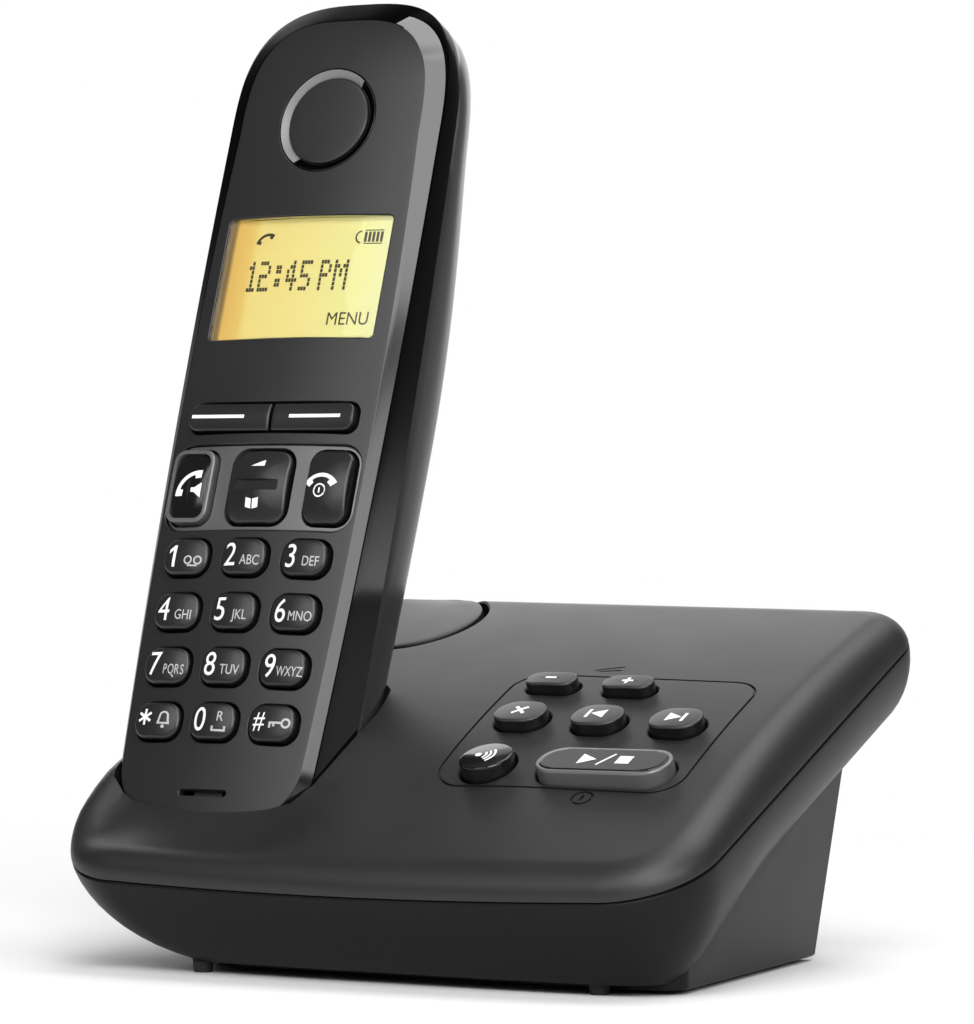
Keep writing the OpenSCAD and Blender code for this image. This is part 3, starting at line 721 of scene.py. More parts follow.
def edgeRing(e, deg, drop=0.0):
    a = math.radians(deg)
    c, s = math.cos(a), math.sin(a)
    return raised(baseOutline(e + base["edgeR"] * (1 - c)), lambda x, t: (topAt(x, t) - drop) * s)


def topSkin(low, drop=0.0, e=0.0):
    rings = [raised(baseOutline(e + (0.0 if drop else seam["deep"])), low)]
    if not drop:
        rings.append(raised(baseOutline(seam["lip"]), max(low, 0) + seam["high"]))
    rings += [edgeRing(e, d, drop) for d in edgeTurns]
    rim = rings[-1]
    rings += [towards(rim, baseSpine, f, lambda x, t: topAt(x, t) - drop) for f in topSteps]
    return loft("topSkin", rings)


def pocketSolid(d):
    rings = [(e, w - d) for e, w in pocket["back"]] + list(pocket["side"])
    lofted = [raised(handOutline(e - d, 1), w) for e, w in rings]

    def lid(x, y):
        return crown(x) + pocket["above"] + d
    rim = raised(handOutline(pocket["rim"] - d, 1), lid)
    lofted += [rim] + [towards(rim, handSpine, f, lid) for f in (0.25, 0.6, 0.97)]
    return place(loft("pocket", lofted), handMm)


def ringGroove(size, width, depth, cx, ct):
    def under(x, t):
        return topAt(x, t) - depth
    w, h, r = size
    sky = basePanel["sky"]
    wide, slim = roundRect(w, h, r, 10, 10), roundRect(w - 2 * width, h - 2 * width, r - width, 10, 10)
    return loft("groove", [raised(wide, under, cx, ct), raised(wide, sky, cx, ct), raised(slim, sky, cx, ct),
                           raised(slim, under, cx, ct)], caps=False, closed=True)


def baseTop():
    wall = base["wall"]
    skin = place(topSkin(0.05), baseMm)
    hollow = [raised(baseOutline(wall), h) for h in (-3.0, 0.3)]
    hollow += [edgeRing(wall, d, wall) for d in (30, 50, 70, 90)]
    rim = hollow[-1]
    hollow += [towards(rim, baseSpine, f, lambda x, t: topAt(x, t) - wall) for f in (0.2, 0.4, 0.6, 0.8, 0.98)]
    carve(skin, place(loft("topHollow", hollow), baseMm))
    wallSolid = pocketSolid(pocket["wall"])
    carve(wallSolid, place(topSkin(-30, 0.4, 0.6), baseMm), "INTERSECT")
    carve(skin, wallSolid, "UNION")
    boss = post(circle(speaker["r"] + 2), 1.6, 5.2, speaker["x"], speaker["t"])
    carve(skin, place(boss, baseMm), "UNION")
    carve(skin, pocketSolid(0.0))
    return skin


# A hole down from the top: straight below, a little wider at the rim
def flaredCut(slim, wide, low, top, edge, lip, cx, ct):
    return loft("flaredCut", [raised(slim, low, cx, ct), raised(slim, lambda x, t: top(x, t) - edge, cx, ct),
                              raised(wide, lambda x, t: top(x, t) + lip, cx, ct),
                              raised(wide, basePanel["sky"], cx, ct)])


marks = {"deep": 0.4, "panel": (49.3, 39.4, 6.0), "panelT": 48.55, "power": (4.2, 4.2, 2.1), "line": 0.5,
         "powerSpot": (36.0, 26.6), "powerBar": [(-0.28, -0.85), (0.28, -0.85), (0.28, 0.85), (-0.28, 0.85)],
         "wedges": (([(-2.7, -1.3), (2.7, 0.6), (2.7, 1.1), (-2.7, -0.9)], 19.6, 71.6),
                    ([(-1.6, -1.3), (2.7, -0.6), (2.7, -0.1), (-1.6, -0.95)], 19.6, 71.3))}

baseUpper = baseTop()
cuts = []
for k in baseKeys.values():
    slim, wide = (roundRect(k[3] + g, k[4] + g, k[5] + c, 10, 4) for g, c in ((0.7, 0.3), (1.3, 0.6)))
    cuts.append(flaredCut(slim, wide, -1, topAt, 0.3, 0.03, *basePlace(k)))
slim = speaker["r"] + speaker["slack"]
cuts.append(flaredCut(circle(slim, speaker["points"]), circle(slim + speaker["flare"], speaker["points"]),
                      speaker["floor"], rolledTop, speaker["edge"], 0.02, speaker["x"], speaker["t"]))
cuts.append(ringGroove(marks["panel"], marks["line"], 0.45, basePanel["x"] - 0.2, marks["panelT"]))
cuts.append(ringGroove(marks["power"], marks["line"], marks["deep"], *marks["powerSpot"]))
for pts, cx, ct in ((marks["powerBar"], *marks["powerSpot"]),) + marks["wedges"]:
    cuts.append(post(pts, lambda x, t: topAt(x, t) - marks["deep"], basePanel["sky"], cx, ct))
carve(baseUpper, place(joined(cuts, "topCuts"), baseMm))
handOver(baseUpper, "base", ["base_upper_shell"], [basePlastic])
print("base top ready")

# Lower shell: boat shaped hull on a wedge block
hull = {"footZ": 2.0, "blockX": 47.3, "blockY": 89.18, "blockZ": 0.8, "blockTop": 45.0, "front": 0.36, "rear": 0.15,
        "corner": 1.39, "rightCorner": 0.5, "pegs": (-37.2, 43.6), "pegY": 14.0, "bulge": 0.36, "bulgeT": 6.0,
        "bulgeReach": 45.0, "innerA": 1.4}
hullTurns = (5, 12, 19, 26, 33, 40, 47, 54, 61, 68, 75, 82, 90)
# Rear sockets: opening, place across, half height above the floor of the block
sockets = (((15.2, 12.7, 0.2), 20, 6.35), ((11.2, 11.2, 0.2), -20, 5.6))
everywhere = roundRect(320, 320, 1)


def hullOutline(e):
    right = baseOutline(e, hull["front"], hull["rear"], hull["rightCorner"])
    left = baseOutline(e, hull["front"], hull["rear"], hull["corner"])
    return right[:len(right) // 2] + left[len(left) // 2:]


def hullRing(e, r, d, deg):
    a = math.radians(deg)
    c = math.cos(a) ** base["hullBlunt"] if deg < 90 else 0.0
    deep = d * math.sin(a) ** base["hullBlunt"]

    def under(x, t):
        across = bell((base["half"] - max(x, 0)) / base["half"])
        return -deep * (1 + hull["bulge"] * across * bell((t - hull["bulgeT"]) / hull["bulgeReach"]))
    return raised(hullOutline(e + r * (1 - c)), under)


def hullSolid(e, r, d, top):
    rings = top + [hullRing(e, r, d, deg) for deg in hullTurns]
    rim = rings[-1]
    rings += [towards(rim, baseSpine, f, lambda x, t: -d) for f in (0.25, 0.6, 0.97)]
    return place(loft("hull", rings), baseMm)


def softPolygon(pts, r, n=5):
    out = []
    for i, p in enumerate(pts):
        a, b = pts[i - 1], pts[(i + 1) % len(pts)]
        la, lb = math.dist(p, a), math.dist(p, b)
        s, e = lerp(p, a, min(r / la, 0.45)), lerp(p, b, min(r / lb, 0.45))
        for k in range(n + 1):
            f = k / n
            out.append(lerp(lerp(s, p, f), lerp(p, e, f), f))
    return out


def blockSolid(d, r=1.2):
    bx, by = hull["blockX"], hull["blockY"]

    def poly(wide, left, tail, pull):
        return softPolygon([(10 - bx, 18.5 + d), (bx + 2, 16.8 + d), (bx + wide - 2.4 - d, 17.4 + d),
                            (bx + wide - d, 20.5 + d), (bx + tail - d, by - d - pull),
                            (d - bx - tail, by - d - pull), (d - bx - left, 31 + d)], r)
    z0 = hull["blockZ"] + d
    rings = [raised(poly(9.35, -0.35, -0.35, 0.35), z0), raised(poly(9.7, 0, 0, 0), z0 + 0.35),
             raised(poly(11.3, 5, 7.3, 0), hull["blockTop"])]
    obj = place(loft("block", rings), floorMm)
    return carve(obj, place(post(everywhere, -1 - d, 120, 0, 60), baseMm))


def below(z):
    return place(post(everywhere, -60, z), floorMm)


def lowerShell():
    top = [raised(hullOutline(seam["deep"]), -0.02), raised(hullOutline(seam["lip"]), seam["low"])]
    obj = carve(hullSolid(0, base["hullA"], base["hullD"], top), below(hull["footZ"]))
    carve(obj, blockSolid(0), "UNION")
    for x in hull["pegs"]:
        peg = loft("peg", [raised(circle(r, 40), z, x, hull["pegY"]) for r, z in ((1.9, 2.0), (3.6, 8.0))])
        carve(obj, place(peg, floorMm), "UNION")
    w = base["wall"]
    inner = [raised(hullOutline(w), 3.0)]
    inside = hullSolid(w, base["hullA"] - hull["innerA"], base["hullD"] - w, inner)
    carve(obj, carve(inside, below(hull["footZ"] + w)))
    carve(obj, blockSolid(w))
    turn = Matrix.Rotation(math.radians(90), 4, "X")
    cuts = [place(post(roundRect(*size), -20, 20),
                  floorMm @ Matrix.Translation((x, hull["blockY"], hull["blockZ"] + w + z)) @ turn)
            for size, x, z in sockets]
    carve(obj, joined(cuts, "socketCuts"))
    return obj


baseLower = lowerShell()
handOver(baseLower, "base", ["base_lower_shell"], [hullPlastic])
print("base lower ready")


# Flat signs: text and outlines become prisms
def arc(r, a0, a1, n=14, cx=0.0, cy=0.0):
    return [onArc(r, a0 + (a1 - a0) * k / n, cx, cy) for k in range(n + 1)]


def bar(w, h, cx=0.0, cy=0.0):
    return [(cx - w / 2, cy - h / 2), (cx + w / 2, cy - h / 2), (cx + w / 2, cy + h / 2), (cx - w / 2, cy + h / 2)]


def band(r, width, a0, a1, cx=0.0, cy=0.0):
    return arc(r + width / 2, a0, a1, 14, cx, cy) + arc(r - width / 2, a1, a0, 14, cx, cy)


def receiver(r, width, lobe, a0, a1):
    cap = (a1 - a0) * 0.2
    return (arc(r + width / 2, a0, a1) + arc(r - width / 2 - lobe, a1, a1 - cap, 4)
            + arc(r - width / 2, a1 - cap, a0 + cap, 8) + arc(r - width / 2 - lobe, a0 + cap, a0, 4))


def turned(pts, deg, cx=0.0, cy=0.0):
    c, s = math.cos(math.radians(deg)), math.sin(math.radians(deg))
    return [(cx + x * c - y * s, cy + x * s + y * c) for x, y in pts]


def star(r, half, cx, cy):
    arm = [(r, -half), (r, half), (half * math.sqrt(3), half)]
    return [p for k in range(6) for p in turned(arm, 30 + 60 * k, cx, cy)]


def plus(reach, half):
    return [(-reach, -half), (-half, -half), (-half, -reach), (half, -reach), (half, -half), (reach, -half),
            (reach, half), (half, half), (half, reach), (-half, reach), (-half, half), (-reach, half)]


def ringLoops(r, width, cx=0.0, cy=0.0):
    return [arc(r, 0, 352, 44, cx, cy), arc(r - width, 0, 352, 44, cx, cy)]


def prism(loops, low, high):
    curve = bpy.data.curves.new("sign", "CURVE")
    curve.dimensions, curve.fill_mode, curve.extrude = "2D", "BOTH", (high - low) / 2
    for loop in loops:
        line = curve.splines.new("POLY")
        line.points.add(len(loop) - 1)
        line.use_cyclic_u = True
        for point, (x, y) in zip(line.points, loop):
            point.co = (x, y, 0, 1)
    obj = bpy.data.objects.new("sign", curve)
    bpy.context.scene.collection.objects.link(obj)
    return solidSign(obj, Matrix.Translation((0, 0, (high + low) / 2)))


def word(text, size, cx, cy, low, high, wide=0.9):
    deselect()
    bpy.ops.object.text_add()
    obj = bpy.context.object
    obj.data.body, obj.data.size = text, size
    obj.data.align_x, obj.data.align_y, obj.data.extrude = "CENTER", "CENTER", (high - low) / 2
    return solidSign(obj, Matrix.Translation((cx, cy, (high + low) / 2)) @ Matrix.Diagonal((wide, 1, 1, 1)))


def solidSign(obj, matrix):
    only(obj)
    bpy.ops.object.convert(target="MESH")
    obj = bpy.context.object
    bpy.ops.object.mode_set(mode="EDIT")
    bpy.ops.mesh.select_all(action="SELECT")
    bpy.ops.mesh.remove_doubles(threshold=0.002)
    bpy.ops.mesh.normals_make_consistent(inside=False)
    bpy.ops.object.mode_set(mode="OBJECT")
    return place(obj, matrix)


# A key: flange under the skin, straight side, rounded edge, crowned top
capTurns, capSteps = (20, 40, 60, 78), 6


def keyCap(name, size, top, foot, shoulder, fillet, flange=(1.2, 1.2), inner=None):
    w, h, r = size

    def rr(o):
        return roundRect(w - 2 * o, h - 2 * o, r - o, 9, 5, inner)
    rings = []
    if flange:
        wide = roundRect(w + flange[0], h + flange[1], r + 0.4, 9, 5, inner)
        rings += [raised(wide, foot), raised(wide, shoulder - 0.15)]
    rings += [raised(rr(0), shoulder), raised(rr(0), lambda x, y: top(x, y) - fillet)]
    for deg in capTurns:
        c, s = math.cos(math.radians(deg)), math.sin(math.radians(deg))
        rings.append(raised(rr(fillet * (1 - c)), lambda x, y: top(x, y) - fillet * (1 - s)))
    deep = min(w, h) / 2 - 0.12
    for k in range(capSteps + 1):
        o = fillet + (deep - fillet) * (k / capSteps)
        rings.append(raised(rr(o), top))
    obj = loft(name, rings)
    paintFaces(obj, 1, lambda p: p.normal.z < 0.45)
    return obj


def dome(high, radius):
    return lambda x, y: high - radius + math.sqrt(radius ** 2 - x * x - y * y)


def sign(name, cap, shapes, body, paint=legendWhite, proud=0.03, matrix=None):
    shell = copyOf(cap, "signShell", (0, 0, proud))
    for m in list(shell.data.materials):
        shell.data.materials.pop()
    ink = carve(joined(shapes, name), shell, "INTERSECT")
    for p in ink.data.polygons:
        p.material_index = 0
    return handOver(ink, body, (), [paint], weighted=False, matrix=matrix)


# Number keys with their digits, letters and small marks
legend = {"low": -1.5, "high": 3.0, "digit": 6.3, "digitX": -2.35, "digitWide": 0.88, "hash": 4.9, "hashY": 0.35,
          "letters": 2.65, "lettersX": 1.9, "lettersY": -0.85, "apart": 0.09}
flagOne = [(-0.15, -2.05), (0.5, -2.05), (0.5, 2.05), (0.0, 2.05), (-1.05, 1.2), (-1.05, 0.5), (-0.15, 1.15)]
spaceBar = [(0.4, -1.0), (0.4, -2.0), (3.3, -2.0), (3.3, -1.0), (2.9, -1.0), (2.9, -1.62), (0.8, -1.62), (0.8, -1.0)]
keyShaft = [(-0.1, -0.2), (-0.1, -0.95), (0.35, -0.95), (0.35, -0.2), (0.75, -0.2), (0.75, -0.7), (1.15, -0.7),
            (1.15, -0.2), (2.32, -0.2), (2.32, 0.22), (-0.1, 0.22)]
bellSpot = (1.7, 0.35)
bellOut = [(-1.3, -1.1)] + arc(1.0, 160, 20, 10, 0, 0.35) + [(1.3, -1.1)]
bellIn = [(-0.8, -0.75)] + arc(0.65, 155, 25, 8, 0, 0.35) + [(0.8, -0.75)]


def figure(loops):
    return prism(loops, legend["low"], legend["high"])


def letterRow(text, size, cx, cy, wide):
    made, x = [], 0.0
    for c in text:
        obj = word("O" if c == "Q" else c, size, 0, 0, legend["low"], legend["high"], wide)
        left = min(v.co.x for v in obj.data.vertices)
        right = max(v.co.x for v in obj.data.vertices)
        foot = min(v.co.y for v in obj.data.vertices)
        made.append(place(obj, Matrix.Translation((x - left, 0, 0))))
        if c == "Q":
            tail = turned(bar(0.62, 0.26), -45, x + (right - left) * 0.86, foot - 0.3)
            made.append(figure([tail]))
        x += right - left + legend["apart"] * size
    for obj in made:
        place(obj, Matrix.Translation((cx - (x - legend["apart"] * size) / 2, cy, 0)))
    return made


def digitSign(digit):
    x = legend["digitX"]
    if digit == "*":
        return [figure([star(1.5, 0.24, x, 0.5)])]
    if digit == "1":
        return [figure([turned(flagOne, 0, x, 0)])]
    size, y = (legend["hash"], legend["hashY"]) if digit == "#" else (legend["digit"], 0)
    return [word(digit, size, x, y, legend["low"], legend["high"], legend["digitWide"])]


def letterSign(letters):
    if letters == "tape":
        reels = [figure(ringLoops(0.85, 0.3, x, -0.75)) for x in (0.95, 2.95)]
        return reels + [figure([bar(2.0, 0.3, 1.95, -1.78)])]
    if letters == "bell":
        return [figure([turned(bellOut, 0, *bellSpot), turned(bellIn, 0, *bellSpot)]),
                figure([arc(0.34, 0, 330, 11, 1.7, -1.2)])]
    if letters == "space":
        return [word("R", legend["letters"], 1.85, 0.75, legend["low"], legend["high"]), figure([spaceBar])]
    if letters == "lock":
        return [figure(ringLoops(0.95, 0.4, 3.3, 0.0)), figure([keyShaft])]
    spot = (legend["letters"], legend["lettersX"], legend["lettersY"])
    if letters == "PQRS":
        return letterRow(letters, *spot, 0.62)
    return [word(letters, *spot, legend["low"], legend["high"], 0.66 if len(letters) > 3 else 0.78)]


labels = [("1", "tape"), ("2", "ABC"), ("3", "DEF"), ("4", "GHI"), ("5", "JKL"), ("6", "MNO"), ("7", "PQRS"),
          ("8", "TUV"), ("9", "WXYZ"), ("*", "bell"), ("0", "space"), ("#", "lock")]
keyNames = ["key_%d" % n for n in range(1, 10)] + ["key_star", "key_0", "key_hash"]
caps = {}
for column in (0, 1):
    high = crown(column * keypad["pitch"]) + keypad["proud"]
    caps[column] = keyCap("capMaster", (keypad["w"], keypad["h"], keypad["r"]), dome(high, keypad["dome"]),
                          keypad["foot"], keypad["shoulder"], keypad["fillet"])
for i, name in enumerate(keyNames):
    c, r = i % 3 - 1, i // 3
    x, y = digitPlace(c, r)
    master = caps[abs(c)]
    spot = handMm @ Matrix.Translation((x, y, 0))
    sign("digit_" + name, master, digitSign(labels[i][0]), name, matrix=spot)
    sign("letters_" + name, master, letterSign(labels[i][1]), name, legendGrey, matrix=spot)
    handOver(copyOf(master, "cap_" + name), name, [name], [keyPlastic, keySide], matrix=spot)
for master in caps.values():
    bpy.data.objects.remove(master)
print("number keys ready")

# Soft keys share one slot, square where they meet
softKeys = {"size": (17.5, 5.3, 2.0), "x": 9.05, "roll": 9.0, "proud": 0.75, "meet": 0.3, "shoulder": -3.6,
            "fillet": 0.4, "line": 0.65}
softTop = crown(softKeys["x"]) + softKeys["proud"]


def softLid(x, y):
    return softTop - softKeys["roll"] + math.sqrt(softKeys["roll"] ** 2 - y * y)


softCap = keyCap("softMaster", softKeys["size"], softLid, keypad["foot"], softKeys["shoulder"], softKeys["fillet"],
                 flange=(0.0, 1.0), inner=softKeys["meet"])
for side, name, dash in ((-1, "softkey_left", (11.4, -2.35)), (1, "softkey_right", (11.0, 0.55))):
    spot = handMm @ Matrix.Translation((side * softKeys["x"], panelY["soft"], 0))
    cap = copyOf(softCap, "cap_" + name)
    if side > 0:
        place(cap, Matrix.Rotation(math.pi, 4, "Z"))
    sign("legend_" + name, cap, [figure([bar(dash[0], softKeys["line"], dash[1], 0)])], name, matrix=spot)
    handOver(cap, name, [name], [keyPlastic, keySide], matrix=spot)
bpy.data.objects.remove(softCap)

# Call keys in their silver tray
callKeys = {"sideX": 14.7, "side": (8.9, 14.0, 2.4), "nav": (12.5, 14.1, 2.9), "tray": (40.2, 16.4, 3.8),
            "trayDrop": 0.5, "trayFoot": -2.55, "sideHole": (10.0, 15.0, 3.0), "navHole": (13.9, 15.2, 3.4),
            "sideShoulder": -2.9, "navDome": (1.3, 20.0), "endDome": (0.9, 20.0), "well": (7.3, 12.5, 1.7),
            "insert": (7.2, 12.4, 1.65), "insertDome": (0.75, 24.0)}


def navTray():
    w, h, r = callKeys["tray"]

    def lid(x, y):
        return crown(x) - callKeys["trayDrop"]

    def rr(o):
        return roundRect(w - 2 * o, h - 2 * o, r - o, 9, 12)
    rings = [raised(rr(0), callKeys["trayFoot"]), raised(rr(0), lambda x, y: lid(x, y) - 0.2),
             raised(rr(0.08), lambda x, y: lid(x, y) - 0.05)]
    rings += [raised(rr(o), lid) for o in (0.25, 1.5, 3.5, 5.5, 7.5)] + [raised(roundRect(12, 0.2, 0.1, 9, 12), lid)]
    obj = loft("navTray", rings)
    cuts = [post(roundRect(*callKeys["sideHole"]), -6, 4, s * callKeys["sideX"]) for s in (-1, 1)]
    cuts.append(post(roundRect(*callKeys["navHole"]), -6, 4))
    return carve(obj, joined(cuts, "trayCuts"))


navSpot = handMm @ Matrix.Translation((0, panelY["nav"], 0))
handOver(navTray(), "handset", ["nav_tray"], [silver], matrix=navSpot)

talkSpot = handMm @ Matrix.Translation((-callKeys["sideX"], panelY["nav"], 0))
talkCap = keyCap("talkKey", callKeys["side"], lambda x, y: 0.5, keypad["foot"], callKeys["sideShoulder"], 0.35,
                 flange=(0.0, 1.0))
carve(talkCap, post(roundRect(*callKeys["well"]), -0.4, 3))
handOver(talkCap, "talk_key", ["talk_key"], [silver, silver], matrix=talkSpot)
insertCap = keyCap("talkInsert", callKeys["insert"], dome(*callKeys["insertDome"]), 0, -0.35, 0.3, flange=None)
talkIcon = [figure([turned(receiver(4.6, 0.75, 0.75, 89, 181), 0, 2.2, -1.95)]),
            figure([[(0.5, -1.25), (1.2, -1.25), (2.6, -2.3), (2.6, 0.6), (1.2, -0.4), (0.5, -0.4)]])]
sign("legend_talk", insertCap, talkIcon, "talk_key", matrix=talkSpot)
handOver(insertCap, "talk_key", ["talk_key_insert"], [blackGloss], matrix=talkSpot)

navTop = dome(*callKeys["navDome"])
navCap = keyCap("navKey", callKeys["nav"], navTop, keypad["foot"], -3.3, 0.6, flange=(0.0, 0.9))
navPad = roundRect(9.4, 2.1, 0.5, 5, 8)
carve(navCap, post(navPad, lambda x, y: navTop(x, y) - 0.28, 4, -0.2, 0.1))
navIcon = [figure([[(-1.8, 3.7), (1.1, 3.7), (1.1, 4.9)]]),
           figure([[(-1.6, -4.2), (-0.4, -4.5), (-0.4, -2.7), (-1.6, -2.4)]]),
           figure([[(-0.1, -4.5), (1.1, -4.2), (1.1, -2.4), (-0.1, -2.7)]])]
sign("legend_nav", navCap, navIcon, "nav_key", matrix=navSpot)
handOver(navCap, "nav_key", ["nav_key"], [keyPlastic, keySide], matrix=navSpot)

endSpot = handMm @ Matrix.Translation((callKeys["sideX"], panelY["nav"], 0))
endCap = keyCap("endKey", callKeys["side"], dome(*callKeys["endDome"]), keypad["foot"], callKeys["sideShoulder"], 0.5,
                flange=(0.0, 1.0))
endIcon = [figure([turned(receiver(3.9, 0.75, 0.7, 35, 145), 0, -1.0, -1.9)]),
           figure(ringLoops(1.3, 0.28, -1.0, -0.95)), figure([bar(0.34, 1.0, -1.0, -0.95)])]
sign("legend_end", endCap, endIcon, "end_key", matrix=endSpot)
handOver(endCap, "end_key", ["end_key"], [keyPlastic, keySide], matrix=endSpot)
print("call keys ready")

# Display: lit panel under a clear window, with a clock in dots
display = {"w": 35.6, "h": 24.0, "panelW": 37.2, "panelH": 26.0, "panelTop": -2.4, "dot": 0.52, "pitch": 0.6,
           "tall": 1.45, "dotTall": 1.42, "text": "12:45 PM", "inkLow": -0.1, "inkHigh": 0.03, "sunk": 0.06}
inkLow, inkHigh = display["panelTop"] + display["inkLow"], display["panelTop"] + display["inkHigh"]
# Four dots to a row, a hexadecimal figure for each of seven rows
dots = {"1": "2622227", "2": "e11e88f", "4": "26aaf22", "5": "f88e11e", ":": "0660660", "P": "e99e888", " ": ""}
wideM = ("10001", "11011", "10101", "10101", "10001", "10001", "10001")


def dotRows(c):
    if c == "M":
        return wideM
    return [format(int(d, 16), "04b") for d in dots[c]]


def displayDots():
    cells, x = [], 0.0
    for c in display["text"]:
        rows = dotRows(c)
        for j, row in enumerate(rows):
            cells += [(x + i * display["pitch"], -j * display["pitch"] * display["tall"])
                      for i, bit in enumerate(row) if bit == "1"]
        x += (len(rows[0]) if rows else 1) * display["pitch"] + display["pitch"]
    made = [bar(display["dot"], display["dot"] * display["dotTall"], cx - x / 2, cy) for cx, cy in cells]
    return prism(made, inkLow, inkHigh)


windowSpot = handMm @ Matrix.Translation((0, panelY["window"], 0))


def panelPiece():
    def rr(o):
        return roundRect(display["panelW"] - 2 * o, display["panelH"] - 2 * o, 0.6, 5, 8)
    top = display["panelTop"]
    profile = ((0, top - 3.0), (0, top - 0.25), (0.2, top), (3, top), (8, top))
    return loft("displayPanel", [raised(rr(o), w) for o, w in profile])


def windowPiece():
    def rr(o):
        return roundRect(display["w"] - 2 * o, display["h"] - 2 * o, 0.9 - o, 6, 10)

    def lid(x, y):
        return crown(x) - display["sunk"]
    rings = [raised(rr(0.1), lambda x, y: lid(x, y) - 0.95), raised(rr(0), lambda x, y: lid(x, y) - 0.85),
             raised(rr(0), lambda x, y: lid(x, y) - 0.18), raised(rr(0.16), lid)]
    rings += [raised(rr(o), lid) for o in (1.5, 4, 7, 10, 11.6)]
    return loft("displayWindow", rings)


lit = Paint("litPanel")
across = lit.node("ShaderNodeSeparateXYZ", {}, lit.spot)
left = (phone["handX"] - display["w"] / 2) / 1000
share = (across - left) * (1000 / display["w"])
# The colour ramp across the panel is painted shadow of the window's edge: a dark strip and a deeper orange band at
# the left, paler yellow towards the right
amberWithEdgeShadow = [(0.0, (0.20, 0.13, 0.035)), (0.03, (0.26, 0.16, 0.04)), (0.05, (0.84, 0.52, 0.11)),
         (0.15, (0.90, 0.62, 0.15)), (0.19, (0.95, 0.77, 0.24)), (0.5, (0.97, 0.83, 0.29)),
         (0.85, (0.95, 0.93, 0.37)), (1.0, (0.93, 0.93, 0.46))]
glowWithEdgeShadow = lit.node("ShaderNodeValToRGB", {"stops": amberWithEdgeShadow}, share)
lit.set(Base_Color=lit.blend(0.42, glowWithEdgeShadow, grey(0.0)), Emission_Color=glowWithEdgeShadow, Emission_Strength=0.36, Roughness=0.5)
ink = plastic("displayInk", (0.045, 0.032, 0.008, 1), 0.6, 0.0)
clear = Paint("clearWindow")
smear = clear.noise(90)
clear.set(Base_Color=grey(1.0), Roughness=0.02 + 0.02 * smear, Transmission_Weight=1.0, IOR=1.3)

handOver(panelPiece(), "handset", ["lcd_module"], [lit.material], matrix=windowSpot)
clock = place(displayDots(), Matrix.Translation((-1.0, 3.4, 0)))
call = [turned(receiver(2.5, 0.55, 0.5, 40, 140), 24, -9.0, 6.6)]
menu = word("MENU", 3.6, 11.2, -8.0, inkLow, inkHigh, 0.92)
cellY = 8.2
cellMark = [bar(0.55, 2.0, 12.0 + 0.85 * k, cellY) for k in range(5)]
cellMark += [bar(3.95, 0.2, 13.7, cellY + y) for y in (-1.3, 1.3)] + [band(1.15, 0.3, 95, 265, 11.1, cellY)]
printed = [clock, prism(call, inkLow, inkHigh), menu] + [prism([loop], inkLow, inkHigh) for loop in cellMark]
handOver(joined(printed, "displayInk"), "handset", (), [ink], weighted=False, matrix=windowSpot)
handOver(windowPiece(), "handset", ["display_window"], [clear.material], matrix=windowSpot)
print("display ready")

# Earpiece: a bevelled ring round a plain disc; the bevel is painted shade, with a painted highlight on the arc from
# 48 to 236 degrees
ear = {"r": 10.2, "foot": -1.85, "points": 96, "bevel": (8.72, 10.1), "light": (48, 236),
       "profile": ((10.2, 0.14), (10.12, 0.05), (9.95, 0.12), (8.75, 0.95), (8.7, 1.3), (8.5, 1.3), (8.46, 0.45),
                   (8.3, 0.3), (8.0, 0.26), (6.5, 0.25), (4.5, 0.25), (2.5, 0.25), (0.4, 0.25))}


def earPiece():
    n = ear["points"]
    rings = [raised(circle(ear["r"], n), ear["foot"])]
    rings += [raised(circle(r, n), lambda x, y: crown(x) - drop) for r, drop in ear["profile"]]
    obj = loft("earDisc", rings)
    # Bevel faces painted dark as shade, those on the arc given by light painted pale as a highlight
    paintFaces(obj, 1, lambda p: ear["bevel"][0] < math.hypot(p.center.x, p.center.y) < ear["bevel"][1])
    paintFaces(obj, 2, lambda p: p.material_index == 1 and ear["light"][0]
               < math.degrees(math.atan2(p.center.y, p.center.x)) % 360 < ear["light"][1])
    return obj


handOver(earPiece(), "handset", ["earpiece_disc"], [facePlastic, rimPaintedShade, ringPaintedHighlight], angle=24,
         matrix=handMm @ Matrix.Translation((0, panelY["ear"], 0)))

# Keys of the base
baseSigns = {
    "key_volume_down": [bar(2.2, 0.55)],
    "key_volume_up": [plus(1.1, 0.28)],
    "key_delete": [turned(plus(1.7, 0.32), 45)],
    "key_skip_back": [bar(0.6, 3.0, -1.7, 0), [(1.6, -1.5), (1.6, 1.5), (-1.2, 0)]],
    "key_skip_forward": [bar(0.6, 3.0, 1.7, 0), [(-1.6, -1.5), (1.2, 0), (-1.6, 1.5)]],
    "key_page": [arc(0.62, 0, 340, 17, -1.4, -0.1)] + [band(r, 0.4, -42, 42, -1.4, -0.1) for r in (1.5, 2.3, 3.1)],
    "key_play_stop": [[(-4.6, -1.8), (-1.4, 0), (-4.6, 1.8)], turned(bar(0.42, 4.6), -28, 0.5, 0),
                      bar(2.7, 2.7, 4.1, 0)],
}
playKey = {"well": (24.8, 7.8, 3.8), "insert": (24.7, 7.7, 3.75), "deep": 1.0, "proud": 0.15, "fillet": 0.22}


def baseCap(name, k):
    cx, ct = basePlace(k)
    high = plainTop(cx, ct) + basePanel["proud"]
    shoulder = plainTop(cx + k[3] / 2 + 1, ct - k[4] / 2 - 1) - base["wall"] - 0.35
    lid = (lambda x, y: high) if name == "key_play_stop" else dome(high, 60.0)
    return keyCap("cap_" + name, (k[3], k[4], k[5]), lid, basePanel["foot"], shoulder, 0.4, flange=(1.6, 1.6))


